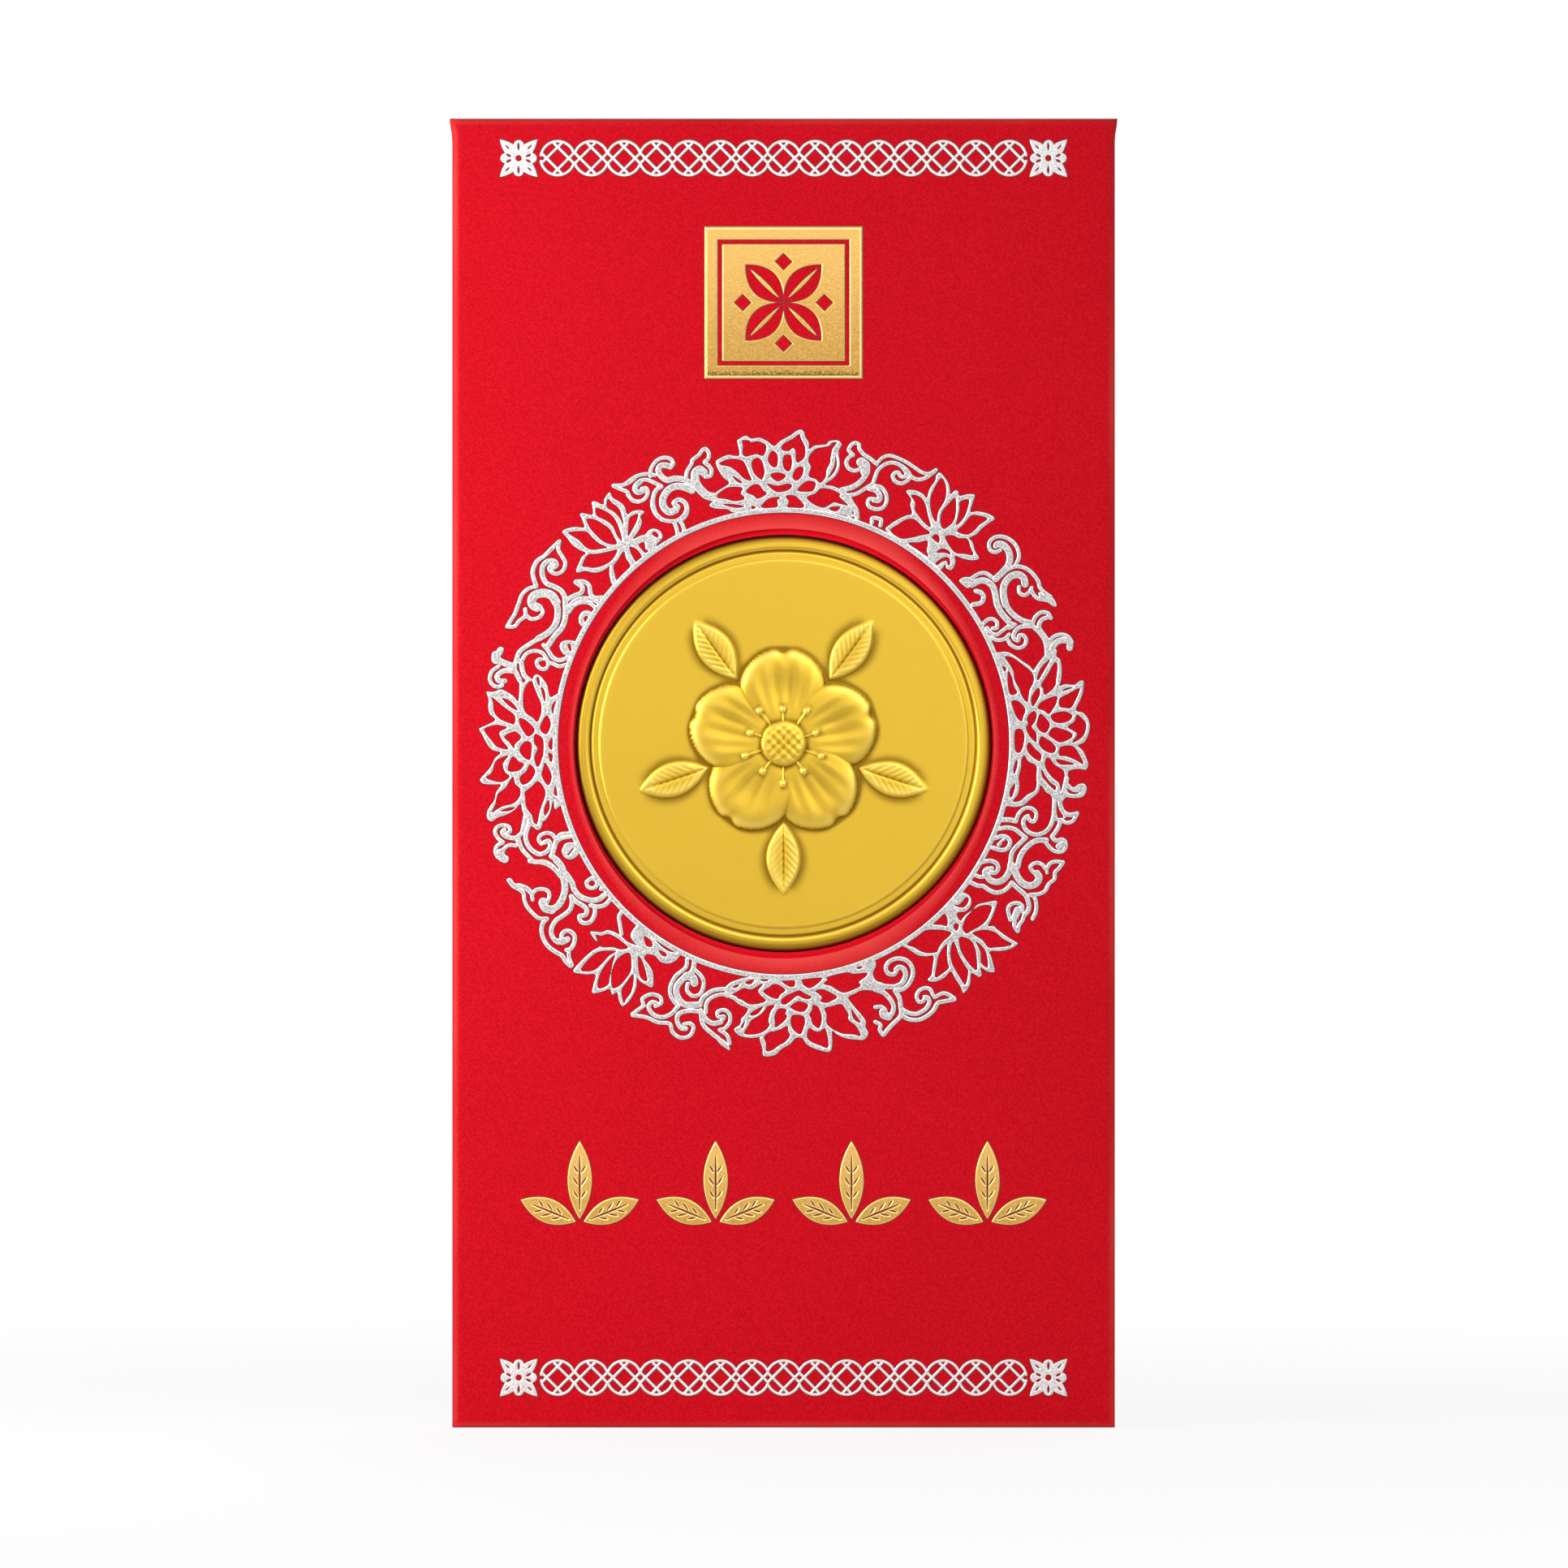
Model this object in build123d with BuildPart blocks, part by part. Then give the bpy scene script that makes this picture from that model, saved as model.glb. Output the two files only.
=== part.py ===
from build123d import *
from math import cos, radians, sin
import os

# A gift envelope of stiff dyed card that stands on its lower edge, with its front towards -Y.
# X runs to the right of the front, Z runs up, and the origin is in the middle of its foot.
# All sizes are in millimetres, and depths run back from the face of the front panel.

# The folded card
envelope_width = 81.0
envelope_height = 160.0
card = 0.6
bend_radius = 1.0
pocket = 1.0
fold_clearance = 0.1
strip_side_clearance = 0.2
glue_flap_width = 12.0
glue_flap_slant = 5.0
mouth_drop = 10.0
mouth_dip = 4.0
mouth_corner_radius = 2.5
back_panel_inset = 0.6
closing_flap_length = 38.0
closing_flap_inset = 0.8
closing_flap_taper = 6.0
closing_flap_corner_radius = 7.0

# The window and the insert behind it
window_width = 51.3
window_height = 52.4
window_rise = 3.6
insert_board = 2.0
insert_clearance = 0.3
insert_head_room = 3.0
insert_corner_radius = 2.0
backing_card = 0.4
tape = 0.15
tape_width = 9.0
tape_margin = 6.0
side_tape_margin = 1.0
side_tape_seat_gap = 4.0
tape_end_gap = 6.0
side_tape_length = 42.0

# The coin
coin_radius = 25.4
coin_thickness = 1.8
coin_seat_clearance = 0.15
coin_pad = 0.3
coin_pad_width = 18.0
rim_width = 1.65
rim_rise = 0.85
rim_crown_width = 0.7
rim_crown_rise = 0.15
rim_corner_bevel = 0.35
rim_groove_width = 0.3
rim_groove_depth = 0.25
rim_ring_width = 0.85
rim_ring_drop = 0.15
field_drop = 0.05
blossom_petal_radius = 5.3
blossom_petal_rise = 0.55
blossom_petal_reach = 6.4
blossom_petal_bevel = 0.4
blossom_heart_radius = 2.7
blossom_heart_rise = 0.8
blossom_heart_bevel = 0.2
coin_leaf_length = 9.0
coin_leaf_width = 4.4
coin_leaf_rise = 0.2
coin_leaf_reach = 9.6
petal_count = 5

# The stamped foil
foil = 0.1
foil_line = 0.5
seal_width = 19.3
seal_top_gap = 6.1
seal_foot_gap = 6.85
seal_bevel = 0.06
seal_frame_margin = 1.6
seal_frame_line = 0.55
seal_leaf_count = 4
seal_leaf_turn = 45
top_border_edge_distance = 4.9
bottom_border_edge_distance = 6.15
border_link_radius = 2.25
border_link_pitch = 3.93
border_link_count = 15
border_link_flat_count = 12
border_line = 0.42
rosette_offset = 32.3
rosette_leaf_reach = 3.2
rosette_petal_reach = 2.35
rosette_notch_reach = 1.3
rosette_hole_width = 0.5
rosette_leaf_count = 4
wreath_inner_width = 55.2
wreath_inner_height = 56.4
wreath_ring_line = 0.65
lotus_height = 9.2
lotus_petal_width = 3.8
lotus_heart_radius = 1.2
lotus_heart_flat_count = 8
side_lotus_height = 9.0
side_lotus_petal_width = 3.2
side_lotus_heart_radius = 0.8
volute_radius = 2.4
greeting_wreath_gap = 10.8
greeting_pitch = 16.6
greeting_count = 4
greeting_leaf_length = 9.6
greeting_leaf_width = 3.0
greeting_leaf_gap = 0.5

# Angles round the wreath, in degrees from its right-hand side
lotus_angles = (4, 90, 181, 274)
side_lotus_angles = (53, 129, 232, 313)
left_volute_angles = (31, 112, 210, 294)
right_volute_angles = (69, 151, 252, 333)

# Hand-chosen shares: (angle in degrees, length share) of lotus petals, outermost pair first
lotus_petal_shares = ((76, 1.0), (38, 0.94), (0, 1.0))
side_lotus_petal_shares = ((44, 0.94), (0, 1.0))
greeting_leaf_shares = ((68, 0.76), (0, 1.0))
volute_radius_shares = (1.0, 0.5)
seal_leaf_length_share = 0.92
seal_leaf_width_share = 0.48
seal_diamond_width_share = 0.21
seal_diamond_reach_share = 0.7
volute_turns = (90, 130)

# Depths worked out from the stack of layers
insert_front = card + tape
insert_back = insert_front + insert_board
backing_back = insert_back + backing_card
glue_flap_front = backing_back + pocket
back_panel_front = glue_flap_front + card
back_panel_back = back_panel_front + card
flap_front = back_panel_back + fold_clearance
flap_back = flap_front + card
front_face = foil - (foil + flap_back) / 2

# Heights and half widths that several pieces share
half_width = envelope_width / 2
wall_foot = bend_radius
wall_top = envelope_height - card - fold_clearance
strip_half_width = half_width - strip_side_clearance
back_half_width = half_width - back_panel_inset
insert_half_width = half_width - card - insert_clearance
insert_foot = card + insert_clearance
insert_top = envelope_height - card - insert_head_room
mouth_height = envelope_height - mouth_drop
overrun = 2 * card

# Heights of what is stamped on the front: wreath round the window, seal above it, leaf sprigs below
window_center_height = envelope_height / 2 + window_rise
wreath_half_width = (wreath_inner_width + wreath_ring_line) / 2
wreath_half_height = (wreath_inner_height + wreath_ring_line) / 2
wreath_reach = wreath_half_height + lotus_height
seal_top = envelope_height - top_border_edge_distance - border_link_radius - seal_top_gap
seal_foot = window_center_height + wreath_reach + seal_foot_gap
seal_height = seal_top - seal_foot
seal_center_height = (seal_top + seal_foot) / 2
greeting_top = window_center_height - wreath_reach - greeting_wreath_gap
greeting_foot = greeting_top - greeting_leaf_length - greeting_leaf_gap


def front_plane(depth):
    """Plane that faces the viewer, at a depth behind the face of the front panel."""
    return Plane.XZ.offset(-(front_face + depth))


def fold_section(run):
    """Section of a wall: a straight run along x, then a quarter bend towards y."""
    with BuildSketch() as section:
        with BuildLine():
            outer_run = Line((0, 0), (run, 0))
            outer_bend = JernArc(outer_run @ 1, outer_run % 1, bend_radius, 90)
            inner_bend = CenterArc((run, bend_radius), bend_radius - card, 0, -90)
            Line(outer_bend @ 1, inner_bend @ 0)
            inner_run = Line(inner_bend @ 1, (0, card))
            Line(inner_run @ 1, outer_run @ 0)
        make_face()
    return section.sketch


def leaf_face(length, width):
    """Pointed leaf from the origin along y, bounded by two equal arcs."""
    with BuildSketch() as leaf:
        with BuildLine():
            left_side = ThreePointArc((0, 0), (-width / 2, length / 2), (0, length))
            ThreePointArc(left_side @ 1, (width / 2, length / 2), left_side @ 0)
        make_face()
    return leaf.sketch


def petal(length, width, line):
    """Pointed petal with a kite-shaped opening that leaves a rim of the line's width at its middle."""
    half_opening = width / 2 - line
    with BuildSketch() as rim:
        add(leaf_face(length, width))
        with BuildLine():
            Polyline(
                (0, 2 * line),
                (half_opening, length / 2),
                (0, length - 2 * line),
                (-half_opening, length / 2),
                close=True,
            )
        make_face(mode=Mode.SUBTRACT)
    return rim.sketch


def lotus(height, petal_width, heart_radius, petal_shares, line):
    """Lotus seen from the side: pairs of petals that fan out, each over the one before."""
    with BuildSketch() as flower:
        RegularPolygon(heart_radius, lotus_heart_flat_count)
        for angle, length_share in petal_shares:
            length = height * length_share
            for side in sorted({angle, -angle}, reverse=True):
                with Locations(Location((0, 0, 0), (0, 0, side))):
                    add(leaf_face(length, petal_width), mode=Mode.SUBTRACT)
                    add(petal(length, petal_width, line))
        RegularPolygon(heart_radius, lotus_heart_flat_count)
    return flower.sketch


def volute(radius, line):
    """Scroll that rises along y from the origin and curls to the right in ever smaller arcs."""
    with BuildSketch() as scroll:
        with BuildLine():
            end, heading = Vector(0, 0), Vector(0, 1)
            for radius_share, turn in zip(volute_radius_shares, volute_turns):
                arc = JernArc(end, heading, radius * radius_share, -turn)
                end, heading = arc @ 1, arc % 1
        trace(line_width=line)
    return scroll.sketch


# Front panel: a shallow pan of card with rounded folds on its four sides and the window in it
with BuildPart() as front_panel:
    with BuildSketch(front_plane(0)):
        with Locations((0, envelope_height / 2)):
            Rectangle(envelope_width, envelope_height)
    extrude(amount=-back_panel_front)
    fillet(front_panel.faces().sort_by(Axis.Y)[0].edges(), radius=bend_radius)
    offset(amount=-card, openings=front_panel.faces().sort_by(Axis.Y)[-1])
    split(bisect_by=front_plane(bend_radius), keep=Keep.TOP)
    with BuildSketch(front_plane(0)):
        with Locations((0, window_center_height)):
            Ellipse(window_width / 2, window_height / 2)
    extrude(amount=overrun, both=True, mode=Mode.SUBTRACT)
front_panel.part.label = "front_panel"

# Side walls: flat card behind the front folds, with a bend towards the glue flap
side_section = fold_section(back_panel_front - 2 * bend_radius)
left_wall_plane = Plane(
    origin=(-half_width, front_face + bend_radius, wall_top),
    x_dir=(0, 1, 0),
    z_dir=(0, 0, -1),
)
with BuildPart() as left_wall:
    with BuildSketch(left_wall_plane):
        add(side_section)
    extrude(amount=wall_top - wall_foot)
left_wall.part.label = "left_wall"

with BuildPart() as right_wall:
    mirror(left_wall.part, about=Plane.YZ)
right_wall.part.label = "right_wall"

# Glue flaps: narrow strips inside the back panel, cut on the slant at both ends
with BuildPart() as left_glue_flap:
    with BuildSketch(front_plane(back_panel_front)):
        with BuildLine():
            inner_edge = -half_width + bend_radius + glue_flap_width
            Polyline(
                (-half_width + bend_radius, wall_foot),
                (inner_edge, wall_foot + glue_flap_slant),
                (inner_edge, wall_top - glue_flap_slant),
                (-half_width + bend_radius, wall_top),
                close=True,
            )
        make_face()
    extrude(amount=card)
left_glue_flap.part.label = "left_glue_flap"

with BuildPart() as right_glue_flap:
    mirror(left_glue_flap.part, about=Plane.YZ)
right_glue_flap.part.label = "right_glue_flap"

# Bottom wall: the foot of the envelope, bent up at the rear into the back panel
bottom_section = fold_section(back_panel_back - 2 * bend_radius)
bottom_wall_plane = Plane(
    origin=(-back_half_width, front_face + bend_radius, 0),
    x_dir=(0, 1, 0),
    z_dir=(1, 0, 0),
)
with BuildPart() as bottom_wall:
    with BuildSketch(bottom_wall_plane):
        add(bottom_section)
    extrude(amount=2 * back_half_width)
bottom_wall.part.label = "bottom_wall"

# Back panel: up from the bottom wall to the mouth, whose edge dips so that a thumb can reach in
with BuildPart() as back_panel:
    with BuildSketch(front_plane(back_panel_back)):
        with BuildLine():
            foot_edge = Line((-back_half_width, bend_radius), (back_half_width, bend_radius))
            right_edge = Line(foot_edge @ 1, (back_half_width, mouth_height))
            mouth_edge = ThreePointArc(
                right_edge @ 1, (0, mouth_height - mouth_dip), (-back_half_width, mouth_height)
            )
            Line(mouth_edge @ 1, foot_edge @ 0)
        make_face()
    extrude(amount=card)
    mouth_corners = back_panel.edges().filter_by(Axis.Y).group_by(Axis.Z)[-1]
    fillet(mouth_corners, radius=mouth_corner_radius)
back_panel.part.label = "back_panel"

# Top strip: covers the mouth from the front fold and bends down behind the back panel
top_section = fold_section(flap_back - 2 * bend_radius)
top_strip_plane = Plane(
    origin=(strip_half_width, front_face + bend_radius, envelope_height),
    x_dir=(0, 1, 0),
    z_dir=(-1, 0, 0),
)
with BuildPart() as top_strip:
    with BuildSketch(top_strip_plane):
        add(top_section)
    extrude(amount=2 * strip_half_width)
top_strip.part.label = "top_strip"

# Closing flap: hangs from the top strip over the back panel and narrows to rounded corners
flap_root = envelope_height - bend_radius
flap_tip = flap_root - closing_flap_length
flap_root_half = half_width - closing_flap_inset
flap_tip_half = flap_root_half - closing_flap_taper
with BuildPart() as closure_flap:
    with BuildSketch(front_plane(flap_back)):
        with BuildLine():
            Polyline(
                (-flap_root_half, flap_root),
                (-flap_tip_half, flap_tip),
                (flap_tip_half, flap_tip),
                (flap_root_half, flap_root),
                close=True,
            )
        make_face()
    extrude(amount=card)
    tip_corners = closure_flap.edges().filter_by(Axis.Y).group_by(Axis.Z)[0]
    fillet(tip_corners, radius=closing_flap_corner_radius)
closure_flap.part.label = "closure_flap"

# Insert board: fills the front of the envelope and holds the coin in a round seat
seat_radius = coin_radius + coin_seat_clearance
insert_center_height = (insert_foot + insert_top) / 2
with BuildSketch() as insert_outline:
    with Locations((0, insert_center_height)):
        RectangleRounded(2 * insert_half_width, insert_top - insert_foot, insert_corner_radius)
with BuildPart() as coin_insert:
    with BuildSketch(front_plane(insert_back)):
        add(insert_outline.sketch)
        with Locations((0, window_center_height)):
            Circle(seat_radius, mode=Mode.SUBTRACT)
    extrude(amount=insert_board)
coin_insert.part.label = "coin_insert"

# Backing card: closes the seat from behind and parts it from the banknotes
with BuildPart() as insert_backing:
    with BuildSketch(front_plane(backing_back)):
        add(insert_outline.sketch)
    extrude(amount=backing_card)
insert_backing.part.label = "insert_backing"

# Tape: two long strips across the board's ends and a short one on each side of the window
long_tape_length = 2 * (insert_half_width - tape_end_gap)
end_tape_reach = (insert_top - insert_foot) / 2 - tape_margin
side_tape_outer = insert_half_width - side_tape_margin
side_tape_inner = seat_radius + side_tape_seat_gap
side_tape_width = side_tape_outer - side_tape_inner
with BuildPart() as insert_tape:
    with BuildSketch(front_plane(insert_front)):
        with Locations((0, insert_center_height)):
            with GridLocations(0, 2 * end_tape_reach, 1, 2):
                Rectangle(long_tape_length, tape_width)
        with Locations((0, window_center_height)):
            with GridLocations(side_tape_outer + side_tape_inner, 0, 2, 1):
                Rectangle(side_tape_width, side_tape_length)
    extrude(amount=tape)
insert_tape.part.label = "insert_tape"

# Pad: a square of foam on the backing card that the coin is pressed on to
with BuildPart() as coin_foam_pad:
    with BuildSketch(front_plane(insert_back)):
        with Locations((0, window_center_height)):
            Rectangle(coin_pad_width, coin_pad_width)
    extrude(amount=coin_pad)
coin_foam_pad.part.label = "coin_foam_pad"

# Coin: a turned blank with a bevelled rim, a groove and a flat ring, and a blossom on its field
coin_back = insert_back - coin_pad
groove_radius = coin_radius - rim_width
ring_outer_radius = groove_radius - rim_groove_width
field_radius = ring_outer_radius - rim_ring_width
ring_level = coin_thickness - rim_ring_drop
field_level = coin_thickness - field_drop
coin_plane = Plane(
    origin=(0, front_face + coin_back, window_center_height),
    x_dir=(1, 0, 0),
    z_dir=(0, 0, -1),
)
with BuildSketch() as coin_leaf_outline:
    with Locations((0, coin_leaf_reach)):
        add(leaf_face(coin_leaf_length, coin_leaf_width))
with BuildPart() as coin:
    with BuildSketch(coin_plane):
        with BuildLine():
            coin_floor = Line((0, 0), (coin_radius, 0))
            coin_side = Line(coin_floor @ 1, (coin_radius, coin_thickness - rim_rise))
            Polyline(
                coin_side @ 1,
                (coin_radius - rim_corner_bevel, coin_thickness - rim_corner_bevel),
                (groove_radius + rim_crown_width, coin_thickness + rim_crown_rise),
                (groove_radius, coin_thickness),
                (groove_radius - rim_groove_width / 2, coin_thickness - rim_groove_depth),
                (ring_outer_radius, ring_level),
                (field_radius, ring_level),
                (field_radius, field_level),
                (0, field_level),
                (0, 0),
            )
        make_face()
    revolve(axis=Axis(coin_plane.origin, (0, 1, 0)))
    field_plane = front_plane(coin_back - field_level)
    with BuildSketch(field_plane):
        with Locations((0, window_center_height)):
            with PolarLocations(0, petal_count, start_angle=180 / petal_count):
                add(coin_leaf_outline.sketch)
    extrude(amount=coin_leaf_rise)
    with BuildSketch(field_plane):
        with Locations((0, window_center_height)):
            Circle(blossom_heart_radius)
            with PolarLocations(blossom_petal_reach, petal_count, start_angle=90):
                Circle(blossom_petal_radius)
    extrude(amount=blossom_petal_rise)
    chamfer(coin.faces().sort_by(Axis.Y)[0].edges(), length=blossom_petal_bevel)
    with BuildSketch(field_plane):
        with Locations((0, window_center_height)):
            Circle(blossom_heart_radius)
    extrude(amount=blossom_heart_rise)
    chamfer(coin.faces().sort_by(Axis.Y)[0].edges(), length=blossom_heart_bevel)
coin.part.label = "coin"

# Square seal: gold foil with a red frame line and four leaves left open in it
with BuildPart() as square_foil:
    with BuildSketch(front_plane(0)):
        with Locations((0, seal_center_height)):
            Rectangle(seal_width, seal_height)
    extrude(amount=foil)
    chamfer(square_foil.faces().sort_by(Axis.Y)[0].edges(), length=seal_bevel)
    frame_width = seal_width - 2 * seal_frame_margin
    frame_height = seal_height - 2 * seal_frame_margin
    seal_room = min(frame_width, frame_height) / 2 - seal_frame_line
    with BuildSketch(front_plane(0)):
        with Locations((0, seal_center_height)):
            Rectangle(frame_width, frame_height)
            Rectangle(
                frame_width - 2 * seal_frame_line,
                frame_height - 2 * seal_frame_line,
                mode=Mode.SUBTRACT,
            )
            with PolarLocations(0, seal_leaf_count, start_angle=seal_leaf_turn):
                add(leaf_face(seal_room * seal_leaf_length_share, seal_room * seal_leaf_width_share))
            with PolarLocations(seal_room * seal_diamond_reach_share, seal_leaf_count):
                seal_diamond_width = seal_room * seal_diamond_width_share
                Rectangle(seal_diamond_width, seal_diamond_width, rotation=seal_leaf_turn)
    extrude(amount=overrun, both=True, mode=Mode.SUBTRACT)
square_foil.part.label = "square_foil"

# Borders: a chain of round links with a diamond in each and a rosette at each end
diamond_half_width = border_link_pitch / 2 - border_line
diamond_half_height = border_link_radius - 2 * border_line
with BuildSketch() as link_diamond:
    with BuildLine():
        Polyline(
            (diamond_half_width, 0),
            (0, diamond_half_height),
            (-diamond_half_width, 0),
            (0, -diamond_half_height),
            close=True,
        )
    make_face()
rosette_tips = (rosette_leaf_reach, rosette_notch_reach, rosette_petal_reach, rosette_notch_reach)
rosette_tip_count = rosette_leaf_count * len(rosette_tips)
rosette_step = 360 / rosette_tip_count
rosette_turns = [rosette_step * (tip + len(rosette_tips) / 2) for tip in range(rosette_tip_count)]
with BuildSketch() as rosette:
    with BuildLine():
        Polyline(
            *[
                (reach * cos(radians(turn)), reach * sin(radians(turn)))
                for turn, reach in zip(rosette_turns, rosette_tips * rosette_leaf_count)
            ],
            close=True,
        )
    make_face()
    Rectangle(rosette_hole_width, rosette_hole_width, mode=Mode.SUBTRACT)


def border(center_height):
    """Foil of one border, centred at a height on the front panel."""
    with BuildPart() as strip:
        with BuildSketch(front_plane(0)):
            with Locations((0, center_height)):
                with GridLocations(border_link_pitch, 0, border_link_count, 1):
                    RegularPolygon(border_link_radius, border_link_flat_count)
                with GridLocations(border_link_pitch, 0, border_link_count, 1):
                    add(link_diamond.sketch, mode=Mode.SUBTRACT)
                with GridLocations(2 * rosette_offset, 0, 2, 1):
                    add(rosette.sketch)
        extrude(amount=foil)
    return strip.part


top_border_foil = border(envelope_height - top_border_edge_distance)
top_border_foil.label = "top_border_foil"
bottom_border_foil = border(bottom_border_edge_distance)
bottom_border_foil.label = "bottom_border_foil"

# Wreath: an oval ring round the window that carries lotus flowers and scrolls
full_lotus = lotus(lotus_height, lotus_petal_width, lotus_heart_radius, lotus_petal_shares, foil_line)
half_lotus = lotus(
    side_lotus_height,
    side_lotus_petal_width,
    side_lotus_heart_radius,
    side_lotus_petal_shares,
    foil_line,
)


def on_wreath(angle):
    """Place on the ring at an angle from the right-hand side, with y outwards."""
    x = wreath_half_width * cos(radians(angle))
    z = wreath_half_height * sin(radians(angle)) + window_center_height
    return Location((x, z, 0), (0, 0, angle - 90))


right_volute = volute(volute_radius, foil_line)
wreath_motifs = (
    (right_volute, right_volute_angles),
    (mirror(right_volute, about=Plane.YZ), left_volute_angles),
    (full_lotus, lotus_angles),
    (half_lotus, side_lotus_angles),
)
with BuildPart() as wreath_foil:
    with BuildSketch(front_plane(0)):
        with Locations((0, window_center_height)):
            Ellipse(
                wreath_inner_width / 2 + wreath_ring_line, wreath_inner_height / 2 + wreath_ring_line
            )
        for motif, angles in wreath_motifs:
            with Locations([on_wreath(angle) for angle in angles]):
                add(motif)
        with Locations((0, window_center_height)):
            Ellipse(wreath_inner_width / 2, wreath_inner_height / 2, mode=Mode.SUBTRACT)
    extrude(amount=foil)
wreath_foil.part.label = "wreath_foil"

# Ornament below the wreath: a row of leaf sprigs in gold foil
with BuildSketch() as sprig:
    for angle, length_share in greeting_leaf_shares:
        for side in sorted({angle, -angle}, reverse=True):
            with Locations(Location((0, 0, 0), (0, 0, side))):
                with Locations((0, greeting_leaf_gap)):
                    add(leaf_face(greeting_leaf_length * length_share, greeting_leaf_width))
with BuildPart() as greeting_foil:
    with BuildSketch(front_plane(0)):
        with Locations((0, greeting_foot)):
            with GridLocations(greeting_pitch, 0, greeting_count, 1):
                add(sprig.sketch)
    extrude(amount=foil)
greeting_foil.part.label = "greeting_foil"

os.makedirs("parts", exist_ok=True)
finished = (
    front_panel.part,
    left_wall.part,
    right_wall.part,
    bottom_wall.part,
    back_panel.part,
    left_glue_flap.part,
    right_glue_flap.part,
    top_strip.part,
    closure_flap.part,
    coin_insert.part,
    insert_backing.part,
    insert_tape.part,
    coin_foam_pad.part,
    coin.part,
    square_foil.part,
    top_border_foil,
    bottom_border_foil,
    wreath_foil.part,
    greeting_foil.part,
)
for piece in finished:
    export_step(piece, f"parts/{piece.label}.step")
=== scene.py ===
"""A gift envelope of red card with stamped foil and a coin in its window, dressed for its photograph."""

import logging
import math
from dataclasses import dataclass, field
from enum import Enum
from typing import ClassVar, Sequence

import bpy
import numpy as np
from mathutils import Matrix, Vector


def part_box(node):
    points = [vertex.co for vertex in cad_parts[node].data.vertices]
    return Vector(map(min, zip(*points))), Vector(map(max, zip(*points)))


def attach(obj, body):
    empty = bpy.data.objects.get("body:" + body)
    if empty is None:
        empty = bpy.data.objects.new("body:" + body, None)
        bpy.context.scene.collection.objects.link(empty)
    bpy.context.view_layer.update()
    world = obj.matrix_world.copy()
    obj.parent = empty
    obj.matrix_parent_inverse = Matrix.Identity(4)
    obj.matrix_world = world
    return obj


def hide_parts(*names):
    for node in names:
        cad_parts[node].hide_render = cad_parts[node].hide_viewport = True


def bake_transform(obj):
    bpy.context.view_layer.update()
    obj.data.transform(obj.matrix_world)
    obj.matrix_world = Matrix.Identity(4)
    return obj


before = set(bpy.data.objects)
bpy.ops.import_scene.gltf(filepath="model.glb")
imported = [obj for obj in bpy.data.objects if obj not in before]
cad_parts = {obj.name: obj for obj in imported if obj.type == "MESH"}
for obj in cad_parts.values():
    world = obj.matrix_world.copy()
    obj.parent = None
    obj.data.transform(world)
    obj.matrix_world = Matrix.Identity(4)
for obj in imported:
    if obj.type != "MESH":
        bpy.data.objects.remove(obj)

LOG = logging.getLogger("scene")
MM = 0.001
TINY = 1e-12
FULL_TURN = 360
QUARTER_TURN = 90
DIAGONAL = 45
CORNER_BITS = (1, 2, 4, 8)
SLIT_END_ANGLE = 0.25
LEAF_POINTS = 25
WHITE = (1.0, 1.0, 1.0, 1.0)

Point = tuple[float, float]
Spot = tuple[float, float, float]
Colour = tuple[float, float, float]
Curve = Sequence[Point]
Window = tuple[slice, slice]
Socket = bpy.types.NodeSocket
Value = float | bpy.types.NodeSocket


class Slot(Enum):
    """Material slots of the record that the pieces take their finish from."""

    CARD = "red_card"
    BOARD = "red_board"
    BACKING = "backing_card"
    TAPE = "tape"
    FOAM = "foam"
    COIN = "gold_coin"
    GOLD = "gold_foil"
    SILVER = "silver_foil"


class Body(Enum):
    """Bodies of the record that the pieces ride on."""

    ENVELOPE = "envelope"
    STRIP = "top_strip"
    FLAP = "closure_flap"
    COIN = "coin"


def solid_box(node: str) -> tuple[np.ndarray, np.ndarray]:
    """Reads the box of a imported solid.

    Args:
        node: Name of the solid.

    Returns:
        Its lowest and its highest corner, in millimetres.
    """
    low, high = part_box(node)
    return np.array(low) / MM, np.array(high) / MM


@dataclass(frozen=True)
class Layout:
    """Main sizes of the envelope in millimetres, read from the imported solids.

    Depths are measured along y, and the window's centre is the origin of the wreath.
    """

    half_width: float
    height: float
    face: float
    face_back: float
    window: tuple[float, float]
    window_height: float
    foil_front: float
    coin_back: float
    coin_radius: float
    side_gap: ClassVar[float] = 0.25
    end_gap: ClassVar[float] = 0.8
    tape: ClassVar[float] = 0.15

    @classmethod
    def from_frame(cls) -> "Layout":
        """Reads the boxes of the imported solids.

        Returns:
            The layout in millimetres.
        """
        low, high = solid_box("front_panel")
        coin_low, coin_high = solid_box("coin")
        insert_low, _ = solid_box("coin_insert")
        foil_low, _ = solid_box("wreath_foil")
        coin_half = (coin_high[0] - coin_low[0]) / 2
        return cls(
            half_width=high[0],
            height=high[2],
            face=low[1],
            face_back=insert_low[1] - cls.tape,
            window=(coin_half + cls.side_gap, coin_half + cls.end_gap),
            window_height=(coin_low[2] + coin_high[2]) / 2,
            foil_front=foil_low[1],
            coin_back=coin_high[1],
            coin_radius=coin_half,
        )


def smoothstep(low: float, high: float, value: np.ndarray) -> np.ndarray:
    """Rises from 0 to 1 with level ends.

    Args:
        low: Value where it is 0.
        high: Value where it is 1.
        value: Values to map.

    Returns:
        Array of the same shape.
    """
    t = np.clip((value - low) / (high - low), 0, 1)
    return t * t * (3 - 2 * t)


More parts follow.
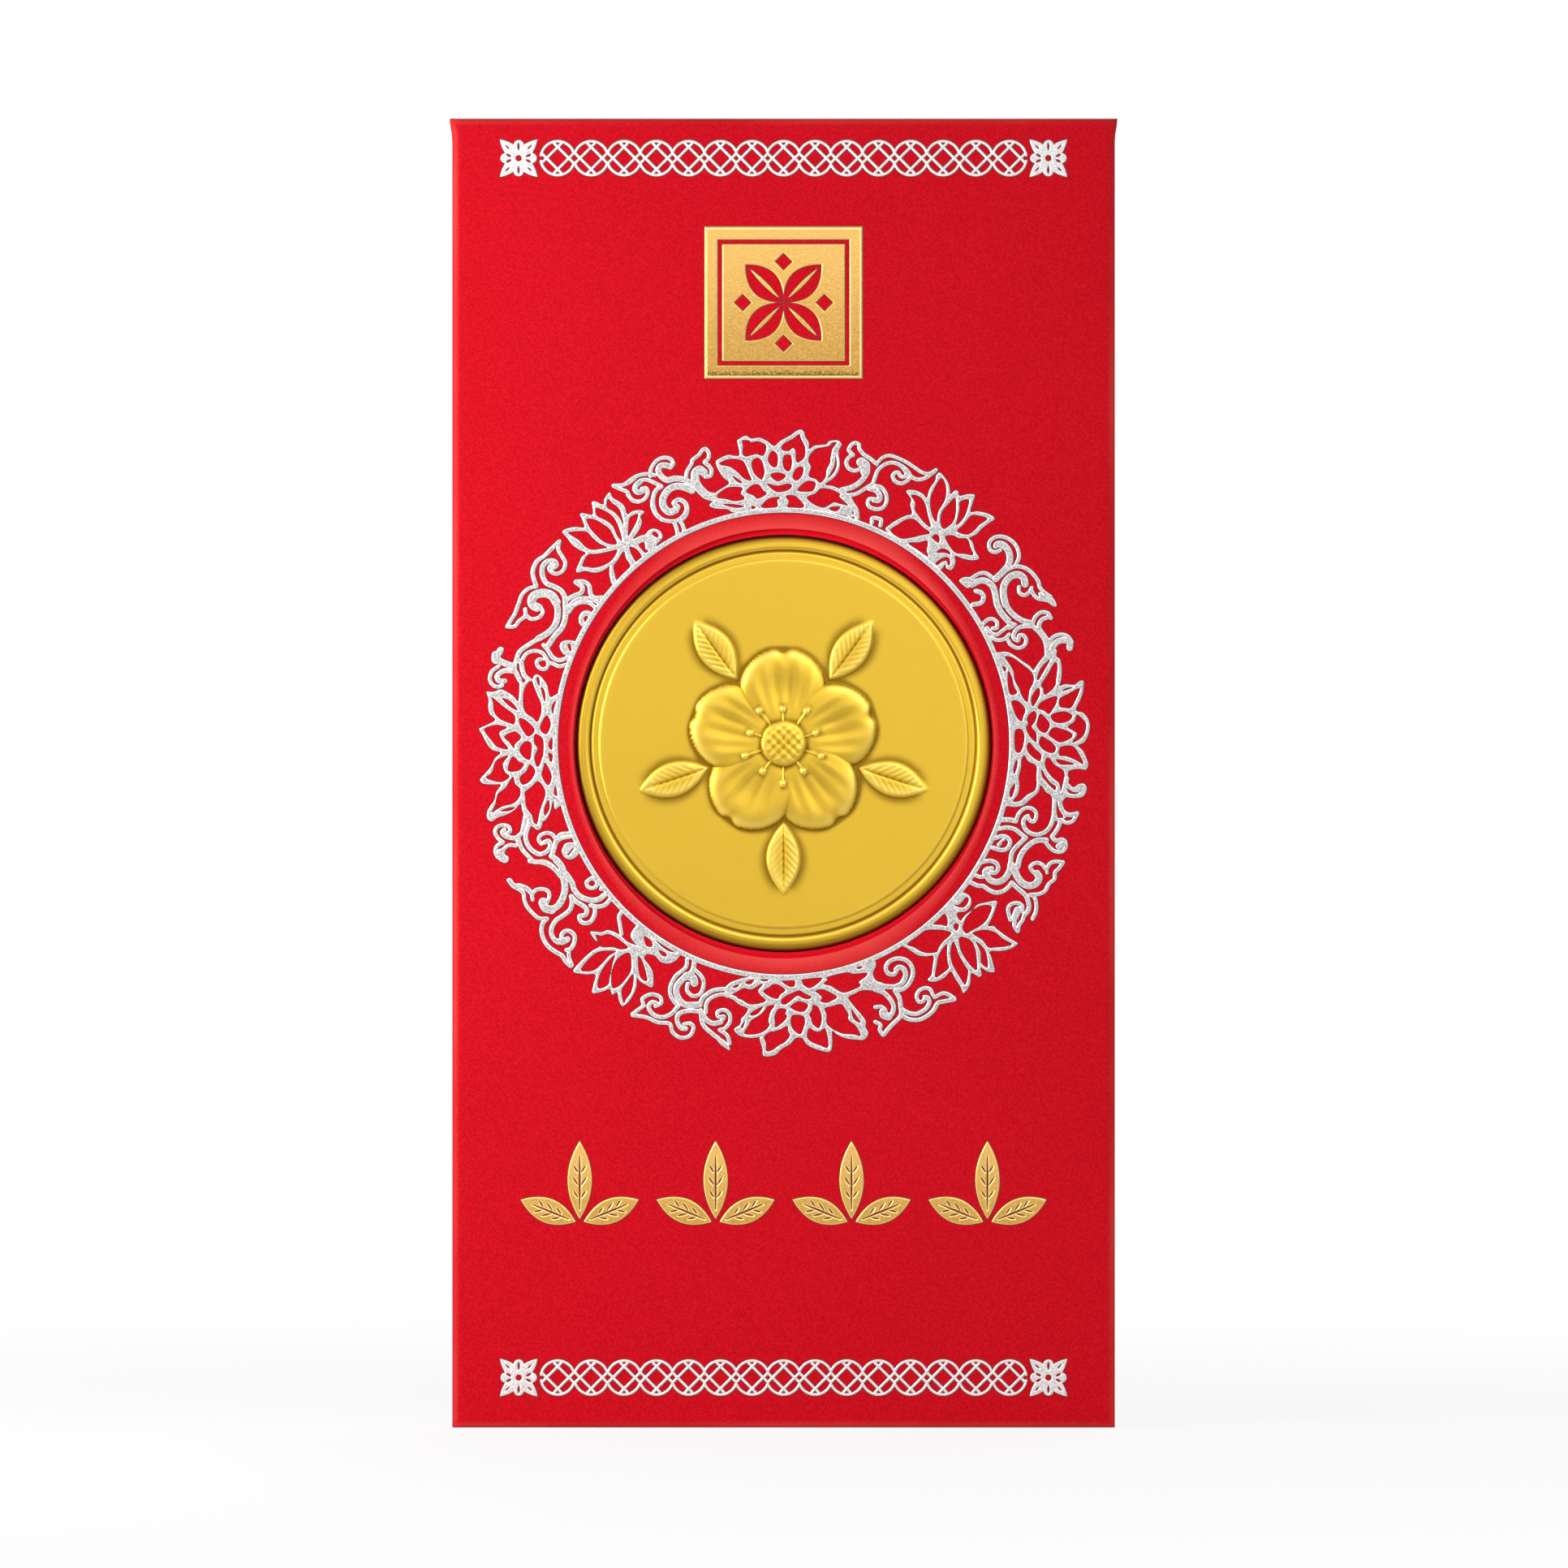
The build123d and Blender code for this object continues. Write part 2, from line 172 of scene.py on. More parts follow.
def spline(points: Curve, closed: bool, per: int = 6) -> np.ndarray:
    """Samples the Catmull-Rom curve through given points.

    Between two points the curve is the cubic whose slope at each end is half the step between the
    neighbours of that end.

    Args:
        points: Points that the curve passes through.
        closed: Whether the curve returns to its first point.
        per: Samples in each span.

    Returns:
        Array of shape (n, 2).
    """
    p = np.asarray(points, float)
    if closed:
        before, start, end, after = np.roll(p, 1, 0), p, np.roll(p, -1, 0), np.roll(p, -2, 0)
    else:
        longer = np.vstack([2 * p[:1] - p[1:2], p, 2 * p[-1:] - p[-2:-1]])
        before, start, end, after = longer[:-3], longer[1:-2], longer[2:-1], longer[3:]
    t = (np.arange(per) / per)[None, :, None]
    b, s, e, a = (v[:, None] for v in (before, start, end, after))
    run = s + 0.5 * t * ((e - b) + t * ((2 * b - 5 * s + 4 * e - a) + t * (3 * (s - e) + a - b)))
    run = run.reshape(-1, 2)
    return run if closed else np.vstack([run, p[-1:]])


def circle(radius: float, count: int) -> np.ndarray:
    """Points of a circle round the origin.

    Args:
        radius: Radius.
        count: Number of points.

    Returns:
        Array of shape (count, 2).
    """
    angle = np.linspace(0, 2 * math.pi, count, endpoint=False)
    return np.stack([np.cos(angle), np.sin(angle)], -1) * radius


def turned(run: np.ndarray, degrees: float) -> np.ndarray:
    """Turns points anticlockwise about the origin.

    Args:
        run: Points of shape (n, 2).
        degrees: Angle of the turn.

    Returns:
        The turned points.
    """
    c, s = math.cos(math.radians(degrees)), math.sin(math.radians(degrees))
    return run @ np.array([[c, s], [-s, c]])


def slit(points: np.ndarray, width: float) -> np.ndarray:
    """Closed lens along a smooth run through some points.

    Args:
        points: Points of shape (n, 2).
        width: Width of the lens at its middle.

    Returns:
        The lens's outline, of shape (m, 2).
    """
    run = spline(points, False)
    along = np.gradient(run, axis=0)
    normal = np.stack([-along[:, 1], along[:, 0]], -1) / np.linalg.norm(along, axis=1)[:, None]
    swell = np.sin(np.linspace(SLIT_END_ANGLE, math.pi - SLIT_END_ANGLE, len(run)))[:, None] * width / 2
    return np.vstack([run + normal * swell, (run - normal * swell)[::-1]])


def leaf_run(length: float, width: float, gap: float = 0.0) -> np.ndarray:
    """Pointed leaf along z, half as wide at each place as a parabola of its share of the length.

    Args:
        length: Length of the leaf.
        width: Width at its middle.
        gap: Distance of its foot from the origin.

    Returns:
        The leaf's outline, of shape (n, 2).
    """
    share = np.linspace(0, 1, LEAF_POINTS)
    half = width / 2 * 4 * share * (1 - share)
    right = np.stack([half, gap + share * length], -1)
    return np.vstack([right, (right * (-1, 1))[-2:0:-1]])


@dataclass
class Grid:
    """Square grid on the front panel's plane, in millimetres."""

    low: Point
    high: Point
    step: float
    x: np.ndarray = field(init=False)
    z: np.ndarray = field(init=False)

    def __post_init__(self) -> None:
        """Fills in the places of the columns and of the rows."""
        self.x = np.arange(self.low[0], self.high[0] + self.step, self.step)
        self.z = np.arange(self.low[1], self.high[1] + self.step, self.step)

    def window(self, run: np.ndarray, margin: float) -> Window:
        """Rows and columns that lie within a margin of a run of points.

        Args:
            run: Points of shape (n, 2).
            margin: Distance round their box.

        Returns:
            Slices of the rows and of the columns.
        """
        (x0, z0), (x1, z1) = run.min(0) - margin, run.max(0) + margin
        rows = slice(*np.searchsorted(self.z, (z0, z1)))
        columns = slice(*np.searchsorted(self.x, (x0, x1)))
        return rows, columns


class Stamp:
    """Flat shape of stamped foil, as the signed distance to its edge in millimetres, positive inside.

    Outlines and strokes are added by taking the greater distance, and openings are cut by taking the
    lesser of the distance and the opening's own distance with its sign turned.
    """

    margin: ClassVar[float] = 0.8
    chunk: ClassVar[int] = 32

    def __init__(self, grid: Grid) -> None:
        """Starts an empty shape on a grid."""
        self.grid = grid
        self.value = np.full((len(grid.z), len(grid.x)), -self.margin)

    def _measure(self, run: np.ndarray, closed: bool) -> tuple[Window, np.ndarray, np.ndarray]:
        """Distance to a run of straight pieces, and whether a point is inside it.

        The distance is the least one to any piece, and a point is inside where a ray to its right
        crosses the run an odd number of times.

        Args:
            run: Points of shape (n, 2).
            closed: Whether the last point is joined to the first.

        Returns:
            Rows and columns near the run, and at each of their points the distance and whether it is inside.
        """
        rows, columns = self.grid.window(run, self.margin)
        x, z = self.grid.x[None, columns, None], self.grid.z[rows, None, None]
        starts, ends = (run, np.roll(run, -1, 0)) if closed else (run[:-1], run[1:])
        nearest = np.full((z.shape[0], x.shape[1]), np.inf)
        crossings = np.zeros(nearest.shape, int)
        for first in range(0, len(starts), self.chunk):
            ax, az = starts[first : first + self.chunk].T
            bx, bz = ends[first : first + self.chunk].T
            dx, dz = bx - ax, bz - az
            along = ((x - ax) * dx + (z - az) * dz) / np.maximum(dx**2 + dz**2, TINY)
            along = np.clip(along, 0, 1)
            gaps = (x - ax - along * dx) ** 2 + (z - az - along * dz) ** 2
            nearest = np.minimum(nearest, gaps.min(-1))
            straddles = (az > z) != (bz > z)
            reach = ax + dx * (z - az) / np.where(dz == 0, TINY, dz)
            crossings += (straddles & (x < reach)).sum(-1)
        return (rows, columns), np.sqrt(nearest), crossings % 2 == 1

    def outline(self, run: np.ndarray) -> None:
        """Adds the inside of a closed run of points."""
        window, gap, inside = self._measure(run, True)
        self.value[window] = np.maximum(self.value[window], np.where(inside, gap, -gap))

    def opening(self, run: np.ndarray) -> None:
        """Cuts the inside of a closed run of points."""
        window, gap, inside = self._measure(run, True)
        self.value[window] = np.minimum(self.value[window], np.where(inside, -gap, gap))

    def stroke(self, run: np.ndarray, width: float, closed: bool = False) -> None:
        """Adds a line of a width along a run of points."""
        window, gap, _ = self._measure(run, closed)
        self.value[window] = np.maximum(self.value[window], width / 2 - gap)

    def merge(self, other: "Stamp") -> None:
        """Adds another shape on the same grid."""
        self.value = np.maximum(self.value, other.value)

    def at(self, points: np.ndarray) -> np.ndarray:
        """Distance at the grid point nearest each of some points.

        Args:
            points: Points of shape (n, 2).

        Returns:
            Array of shape (n,).
        """
        low = (self.grid.x[0], self.grid.z[0])
        column, row = np.rint((points - low) / self.grid.step).astype(int).T
        return self.value[row, column]


def contour(stamp: Stamp, level: float, keep: np.ndarray) -> tuple[np.ndarray, np.ndarray, np.ndarray]:
    """Triangles that cover a stamp where its distance is above a level, with edges cut to the contour.

    In each cell, the corners above the level and the points where the level crosses the cell's sides
    are joined in order round the cell to one polygon.

    Args:
        stamp: The shape.
        level: Distance of the mesh's edge.
        keep: Cells to cover, of shape (rows - 1, columns - 1).

    Returns:
        Points of shape (n, 2), triangles of shape (m, 3) and the distance at each point.
    """
    x, z, step = stamp.grid.x, stamp.grid.z, stamp.grid.step
    value = stamp.value - level
    rows, columns = value.shape
    total = rows * columns
    above = value > 0
    share = np.clip(value[:, :-1] / (value[:, :-1] - value[:, 1:] + TINY), 0, 1)
    across = np.stack([x[None, :-1] + share * step, np.broadcast_to(z[:, None], share.shape)], -1)
    share = np.clip(value[:-1] / (value[:-1] - value[1:] + TINY), 0, 1)
    upward = np.stack([np.broadcast_to(x[None, :], share.shape), z[:-1, None] + share * step], -1)
    nodes = np.stack(np.broadcast_arrays(x[None, :], z[:, None]), -1)
    every = np.concatenate([nodes.reshape(-1, 2), across.reshape(-1, 2), upward.reshape(-1, 2)])
    heights = np.concatenate([value.ravel(), np.zeros(across.size // 2 + upward.size // 2)]) + level

    corner = np.arange(total).reshape(rows, columns)
    side = total + np.arange(rows * (columns - 1)).reshape(rows, columns - 1)
    rise = total + side.size + np.arange((rows - 1) * columns).reshape(rows - 1, columns)
    lower = [corner[:-1, :-1], side[:-1], corner[:-1, 1:], rise[:, 1:]]
    upper = [corner[1:, 1:], side[1:], corner[1:, :-1], rise[:, :-1]]
    ring = np.stack(lower + upper, -1)
    state = np.stack([above[:-1, :-1], above[:-1, 1:], above[1:, 1:], above[1:, :-1]], -1)
    code = (state * CORNER_BITS).sum(-1) * keep
    triangles = []
    for case in range(1, sum(CORNER_BITS) + 1):
        bits = [bool(case >> k & 1) for k in range(4)]
        used = []
        for k in range(4):
            if bits[k]:
                used.append(2 * k)
            if bits[k] != bits[k - 3]:
                used.append(2 * k + 1)
        cells = ring[code == case]
        triangles += [cells[:, [used[0], used[k], used[k + 1]]] for k in range(1, len(used) - 1)]
    kept, index = np.unique(np.concatenate(triangles), return_inverse=True)
    return every[kept], index.reshape(-1, 3), heights[kept]


def grid_triangles(index: np.ndarray) -> np.ndarray:
    """Splits the cells of a grid of point numbers into triangles.

    Args:
        index: Point numbers, of shape (rows, columns), with a row or column repeated where it closes.

    Returns:
        Array of shape (n, 3), without triangles that have two corners in one point.
    """
    a, b, c, d = index[:-1, :-1], index[:-1, 1:], index[1:, 1:], index[1:, :-1]
    faces = np.concatenate([np.stack(three, -1).reshape(-1, 3) for three in ([a, b, c], [a, c, d])])
    apart = (faces[:, 0] != faces[:, 1]) & (faces[:, 1] != faces[:, 2]) & (faces[:, 2] != faces[:, 0])
    return faces[apart]


def outward(points: np.ndarray, faces: np.ndarray) -> np.ndarray:
    """Turns the triangles of a closed mesh outwards, by the sign of the volume that they enclose.

    Args:
        points: Points of shape (n, 3).
        faces: Corner numbers of shape (m, 3), all turned the same way.

    Returns:
        The corner numbers, in turned order where needed.
    """
    a, b, c = (points[faces[:, k]] for k in range(3))
    volume = (a * np.cross(b, c)).sum()
    return faces if volume > 0 else faces[:, ::-1]


def closed_rings(points: np.ndarray) -> tuple[np.ndarray, np.ndarray, np.ndarray]:
    """Closes rows of points round an axis to a mesh whose first and last rows are single points.

    Args:
        points: Array of shape (rows, columns, 3).

    Returns:
        Points of shape (n, 3), outward triangles, and the number of each kept point.
    """
    rows, columns = points.shape[:2]
    index = np.arange(rows * columns).reshape(rows, columns)
    index[0], index[-1] = index[0, 0], index[-1, 0]
    index = np.hstack([index, index[:, :1]])
    kept, faces = np.unique(grid_triangles(index), return_inverse=True)
    flat = points.reshape(-1, 3)[kept]
    return flat, outward(flat, faces.reshape(-1, 3)), kept


def make_piece(
    name: str,
    points: np.ndarray,
    faces: np.ndarray,
    material: bpy.types.Material,
    replaced: Sequence[str],
    body: Body | None,
    attributes: dict[str, np.ndarray] | None = None,
    smooth: np.ndarray | None = None,
) -> bpy.types.Object:
    """Makes one mesh piece at the origin.

    Args:
        name: Name of the piece.
        points: Points in millimetres, of shape (n, 3).
        faces: Corner numbers, of shape (m, 3).
        material: Its material.
        replaced: Solids that it stands for.
        body: Body that it rides on, or none.
        attributes: Values per point that the material reads.
        smooth: Whether each face is shaded smooth; all are by default.

    Returns:
        The new object.
    """
    mesh = bpy.data.meshes.new(name)
    mesh.vertices.add(len(points))
    mesh.vertices.foreach_set("co", (points * MM).astype(np.float32).ravel())
    mesh.loops.add(faces.size)
    mesh.loops.foreach_set("vertex_index", faces.astype(np.int32).ravel())
    mesh.polygons.add(len(faces))
    mesh.polygons.foreach_set("loop_start", np.arange(0, faces.size, faces.shape[1], dtype=np.int32))
    mesh.polygons.foreach_set("use_smooth", np.ones(len(faces), bool) if smooth is None else smooth)
    for key, values in (attributes or {}).items():
        layer = mesh.attributes.new(key, "FLOAT", "POINT")
        layer.data.foreach_set("value", values.astype(np.float32).ravel())
    mesh.update(calc_edges=True)
    mesh.validate()
    mesh.materials.append(material)
    piece = bpy.data.objects.new(name, mesh)
    bpy.context.scene.collection.objects.link(piece)
    if body:
        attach(piece, body.value)
    if replaced:
        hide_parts(*replaced)
    return piece


class Nodes:
    """Adds and joins the nodes of one tree.

    The colour sockets are the numbers of a mix node's two colour inputs and of its colour output.
    """

    grid_turn: ClassVar[Spot] = (0.62, 0.81, 0.43)
    colour_inputs: ClassVar[tuple[int, int]] = (6, 7)
    colour_output: ClassVar[int] = 2

    def __init__(self, tree: bpy.types.NodeTree) -> None:
        """Works on a tree."""
        self.tree = tree

    def add(
        self, kind: str, inputs: dict[str | int, object] | None = None, **settings: object
    ) -> bpy.types.Node:
        """Adds a node.

        Args:
            kind: Blender's name of the node type.
            inputs: Values, or sockets to join, by input name or number.
            settings: Properties of the node.

        Returns:
            The new node.
        """
        node = self.tree.nodes.new(kind)
        for key, value in settings.items():
            setattr(node, key, value)
        for key, value in (inputs or {}).items():
            if isinstance(value, Socket):
                self.join(value, node.inputs[key])
            else:
                node.inputs[key].default_value = value
        return node

    def join(self, start: Socket, end: Socket) -> None:
        """Joins an output to an input."""
        self.tree.links.new(start, end)

    def attribute(self, name: str) -> Socket:
        """Value that the mesh carries at each point under a name."""
        return self.add("ShaderNodeAttribute", attribute_name=name).outputs["Fac"]

    def math(
        self, operation: str, first: Value, second: Value = 0.0, third: Value = 0.0, clamp: bool = False
    ) -> Socket:
        """Adds a math node.

        Args:
            operation: Blender's name of the operation.
            first: First value.
            second: Second value.
            third: Third value.
            clamp: Whether the result is kept from 0 to 1.

        Returns:
            The result.
        """
        inputs = {0: first, 1: second, 2: third}
        return self.add("ShaderNodeMath", inputs, operation=operation, use_clamp=clamp).outputs[0]

    def step(self, value: Value, low: float, high: float, start: float = 0.0, end: float = 1.0) -> Socket:
        """Adds a smooth map of a range of values to another range.

        Args:
            value: Value to map.
            low: Value that gives the start.
            high: Value that gives the end.
            start: First result.
            end: Last result.

        Returns:
            The result.
        """
        inputs = {"Value": value, "From Min": low, "From Max": high, "To Min": start, "To Max": end}
        return self.add("ShaderNodeMapRange", inputs, interpolation_type="SMOOTHSTEP").outputs[0]

    def mix(self, factor: Value, first: Colour | Socket, second: Colour | Socket) -> Socket:
        """Adds a mix of two colours.

        Args:
            factor: Share of the second colour.
            first: First colour.
            second: Second colour.

        Returns:
            The mixed colour.
        """
        node = self.add("ShaderNodeMix", {0: factor}, data_type="RGBA")
        for key, value in zip(self.colour_inputs, (first, second)):
            if isinstance(value, Socket):
                self.join(value, node.inputs[key])
            else:
                node.inputs[key].default_value = (*value, 1.0)
        return node.outputs[self.colour_output]

    def place(self) -> Socket:
        """Object coordinates, turned so that no face of the card lies along the noise's own grid.

        Returns:
            The turned coordinates.
        """
        given = self.add("ShaderNodeTexCoord").outputs["Object"]
        inputs = {"Vector": given, "Rotation": self.grid_turn}
        return self.add("ShaderNodeVectorRotate", inputs, rotation_type="EULER_XYZ").outputs[0]

    def noise(self, vector: Socket, scale: Value, detail: float = 2.0, roughness: float = 0.5) -> Socket:
        """Adds a noise texture.

        Args:
            vector: Coordinates.
            scale: Grains in a metre.
            detail: Finer layers.
            roughness: Share of the finer layers.

        Returns:
            The noise's value.
        """
        inputs = {"Vector": vector, "Scale": scale, "Detail": detail, "Roughness": roughness}
        return self.add("ShaderNodeTexNoise", inputs).outputs[0]


def new_group(
    name: str, inputs: dict[str, float], outputs: Sequence[str]
) -> tuple[Nodes, dict[str, Socket], bpy.types.Node]:
    """Starts a shader node group with number sockets.

    Args:
        name: Name of the group.
        inputs: Input names with their default values.
        outputs: Output names.

    Returns:
        The group's nodes, its input sockets by name, and its output node.
    """
    tree = bpy.data.node_groups.new(name, "ShaderNodeTree")
    for key, value in inputs.items():
        socket = tree.interface.new_socket(key, in_out="INPUT", socket_type="NodeSocketFloat")
        socket.default_value = value
    for key in outputs:
        tree.interface.new_socket(key, in_out="OUTPUT", socket_type="NodeSocketFloat")
    nodes = Nodes(tree)
    entry = nodes.add("NodeGroupInput")
    given = {socket.name: socket for socket in entry.outputs if socket.name}
    return nodes, given, nodes.add("NodeGroupOutput")


class Effects:
    """Node groups that several materials share."""

    grain_rate: ClassVar[str] = "Grain per metre"
    coarse_scale: ClassVar[float] = 0.28
    coarse_share: ClassVar[float] = 0.45
    speck_scale: ClassVar[float] = 0.7
    speck_range: ClassVar[Point] = (0.32, 0.7)
    drift_per_metre: ClassVar[float] = 38.0
    shade_line_blur: ClassVar[float] = 0.03
    foil_range: ClassVar[Point] = (0.34, 0.66)

    def __init__(self) -> None:
        """Makes both groups."""
        self.grain = self._grain()
        self.foil = self._foil()

    def _grain(self) -> bpy.types.NodeTree:
        """Fibre grain of card: a fine height, a speckle and a slow drift of tone, all from 0 to 1.

        Returns:
            The group.
        """
        outputs = ("Height", "Speck", "Drift")
        nodes, given, result = new_group("card_grain", {self.grain_rate: 3000.0}, outputs)
        place = nodes.place()
        rate = given[self.grain_rate]
        fine = nodes.noise(place, rate, detail=3.0, roughness=0.65)
        coarse = nodes.noise(place, nodes.math("MULTIPLY", rate, self.coarse_scale))
        fine_part = nodes.math("MULTIPLY", fine, 1 - self.coarse_share)
        height = nodes.math("MULTIPLY_ADD", coarse, self.coarse_share, fine_part)
        specks = nodes.noise(place, nodes.math("MULTIPLY", rate, self.speck_scale), detail=1.0)
        nodes.join(height, result.inputs["Height"])
        nodes.join(nodes.step(specks, *self.speck_range), result.inputs["Speck"])
        nodes.join(nodes.noise(place, self.drift_per_metre, detail=3.0), result.inputs["Drift"])
        return nodes.tree

    def _foil(self) -> bpy.types.NodeTree:
        """Stamped foil by its edge distance: a painted highlight along its rim, a painted shadow line outside
        it, and the grain of the card below.

        Returns:
            The group.
        """
        nodes, given, result = new_group(
            "foil_edge",
            {"Highlight rim": 0.1, "Shade line": 0.045, self.grain_rate: 5200.0},
            ("Highlight rim", "Shade line", "Grain", "Height"),
        )
        place = nodes.place()
        inner = nodes.math("SUBTRACT", nodes.attribute("edge"), given["Shade line"])
        # Painted highlight along the foil's rim: 1 at its edge, falling to 0 over the rim's width.
        rim = nodes.math("SUBTRACT", 1.0, nodes.math("DIVIDE", inner, given["Highlight rim"], clamp=True))
        # Painted shadow line on the level card just outside the foil's edge.
        shade_line = nodes.step(inner, 0.0, -self.shade_line_blur)
        fibres = nodes.noise(place, given[self.grain_rate], roughness=0.7)
        grain = nodes.step(fibres, *self.foil_range)
        height = nodes.math("MULTIPLY", grain, nodes.math("SUBTRACT", 1.0, rim))
        for key, value in (("Highlight rim", rim), ("Shade line", shade_line), ("Grain", grain), ("Height", height)):
            nodes.join(value, result.inputs[key])
        return nodes.tree


@dataclass(frozen=True)
class Finish:
    """Finish of one material: a Principled surface whose sockets a subclass feeds.

    The roughness varies by its spread from the drop below its nominal value. The tooth is the height of
    the bump in metres.
    """

    name: str
    roughness: float = 0.5
    specular: float = 0.5
    rough_spread: float = 0.15
    rough_drop: float = 0.075
    strength: float = 0.55
    tooth: float = 0.00006

    def material(self, effects: Effects) -> bpy.types.Material:
        """Builds the material.

        Args:
            effects: Shared node groups.

        Returns:
            The material.
        """
        made = bpy.data.materials.new(self.name)
        made.use_nodes = True
        made.node_tree.nodes.clear()
        nodes = Nodes(made.node_tree)
        inputs = {"Roughness": self.roughness, "Specular IOR Level": self.specular}
        shader = nodes.add("ShaderNodeBsdfPrincipled", inputs)
        self.feed(nodes, shader, effects)
        nodes.add("ShaderNodeOutputMaterial", {"Surface": shader.outputs[0]})
        return made

    def feed(self, nodes: Nodes, shader: bpy.types.Node, effects: Effects) -> None:
        """Joins the finish's own nodes to the shader.

        Args:
            nodes: Nodes of the material.
            shader: Its Principled node.
            effects: Shared node groups.
        """
        raise NotImplementedError

    def roughen(self, nodes: Nodes, shader: bpy.types.Node, tone: Socket, height: Socket) -> None:
        """Joins a varying roughness and a bump to the shader.

        Args:
            nodes: Nodes of the material.
            shader: Its Principled node.
            tone: Value from 0 to 1 that the roughness follows.
            height: Value from 0 to 1 that the bump follows.
        """
        rough = nodes.math("MULTIPLY_ADD", tone, self.rough_spread, self.roughness - self.rough_drop)
        nodes.join(rough, shader.inputs["Roughness"])
        inputs = {"Height": height, "Strength": self.strength, "Distance": self.tooth}
        nodes.join(nodes.add("ShaderNodeBump", inputs).outputs[0], shader.inputs["Normal"])


@dataclass(frozen=True)
class CardFinish(Finish):
    """Dyed card with a fine tooth and a slow drift of tone, paler along the middle of its folds, with a
    painted highlight at the window's cut edge.
    """

    rough_spread: float = 0.12
    rough_drop: float = 0.06
    dark: Colour = (0.510, 0.0008, 0.007)
    light: Colour = (0.720, 0.0036, 0.016)
    # Pale tone of the fold middles and of the painted highlight at the window's cut edge.
    pale_edge: Colour = (0.90, 0.085, 0.075)
    grain_per_metre: float = 5400.0
    drift_share: float = 0.25
    paling_drift: Point = (0.3, 0.7)
    paling_share: Point = (0.25, 0.8)

    def feed(self, nodes: Nodes, shader: bpy.types.Node, effects: Effects) -> None:
        """Joins the speckled tone, the paler folds and the painted highlight at the window's cut edge, and
        the tooth to the shader.

        Args:
            nodes: Nodes of the material.
            shader: Its Principled node.
            effects: Shared node groups.
        """
        inputs = {effects.grain_rate: self.grain_per_metre}
        grain = nodes.add("ShaderNodeGroup", inputs, node_tree=effects.grain).outputs
        drift = nodes.math("MULTIPLY", grain["Drift"], self.drift_share)
        tone = nodes.math("MULTIPLY_ADD", grain["Speck"], 1 - self.drift_share, drift)
        colour = nodes.mix(tone, self.dark, self.light)
        # The fold attribute carries the paler fold middles and the painted highlight at the window's cut
        # edge.
        uneven = nodes.step(grain["Drift"], *self.paling_drift, *self.paling_share)
        paled = nodes.math("MULTIPLY", nodes.attribute("fold"), uneven)
        nodes.join(nodes.mix(paled, colour, self.pale_edge), shader.inputs["Base Color"])
        self.roughen(nodes, shader, grain["Speck"], grain["Height"])


@dataclass(frozen=True)
class FoilFinish(Finish):
    """Hot-stamped metal foil with a painted highlight along its rim, a painted shadow line round it and the
    card's tooth in it.
    """

    tooth: float = 0.00004
    body_dark: Colour = (0.34, 0.33, 0.33)
    body_light: Colour = (0.78, 0.76, 0.75)
    # The rim colour is a painted highlight; the line colour below it is painted shadow.
    rim: Colour = (1.0, 0.97, 0.96)
    shade_line: Colour = (0.20, 0.001, 0.006)
    highlight_width: float = 0.12
    metal: float = 0.6
    grain_per_metre: float = 5200.0
    grain_middle: ClassVar[float] = 0.5

    def body(self, nodes: Nodes, foil: bpy.types.Node) -> Socket:
        """Mixes the tone inside the rim by the grain.

        Args:
            nodes: Nodes of the material.
            foil: Node of the shared foil group.

        Returns:
            The colour.
        """
        return nodes.mix(foil.outputs["Grain"], self.body_dark, self.body_light)

    def feed(self, nodes: Nodes, shader: bpy.types.Node, effects: Effects) -> None:
        """Joins body, painted rim highlight and painted shadow line to the shader, with less metal in the
        shadow line.

        Args:
            nodes: Nodes of the material.
            shader: Its Principled node.
            effects: Shared node groups.
        """
        inputs = {"Highlight rim": self.highlight_width, effects.grain_rate: self.grain_per_metre}
        foil = nodes.add("ShaderNodeGroup", inputs, node_tree=effects.foil)
        # Painted highlight along the rim, then painted shadow in the line round the foil.
        highlighted = nodes.mix(foil.outputs["Highlight rim"], self.body(nodes, foil), self.rim)
        colour = nodes.mix(foil.outputs["Shade line"], highlighted, self.shade_line)
        nodes.join(colour, shader.inputs["Base Color"])
        bare = nodes.math("SUBTRACT", 1.0, foil.outputs["Shade line"])
        nodes.join(nodes.math("MULTIPLY", bare, self.metal), shader.inputs["Metallic"])
        self.roughen(nodes, shader, foil.outputs["Grain"], foil.outputs["Height"])


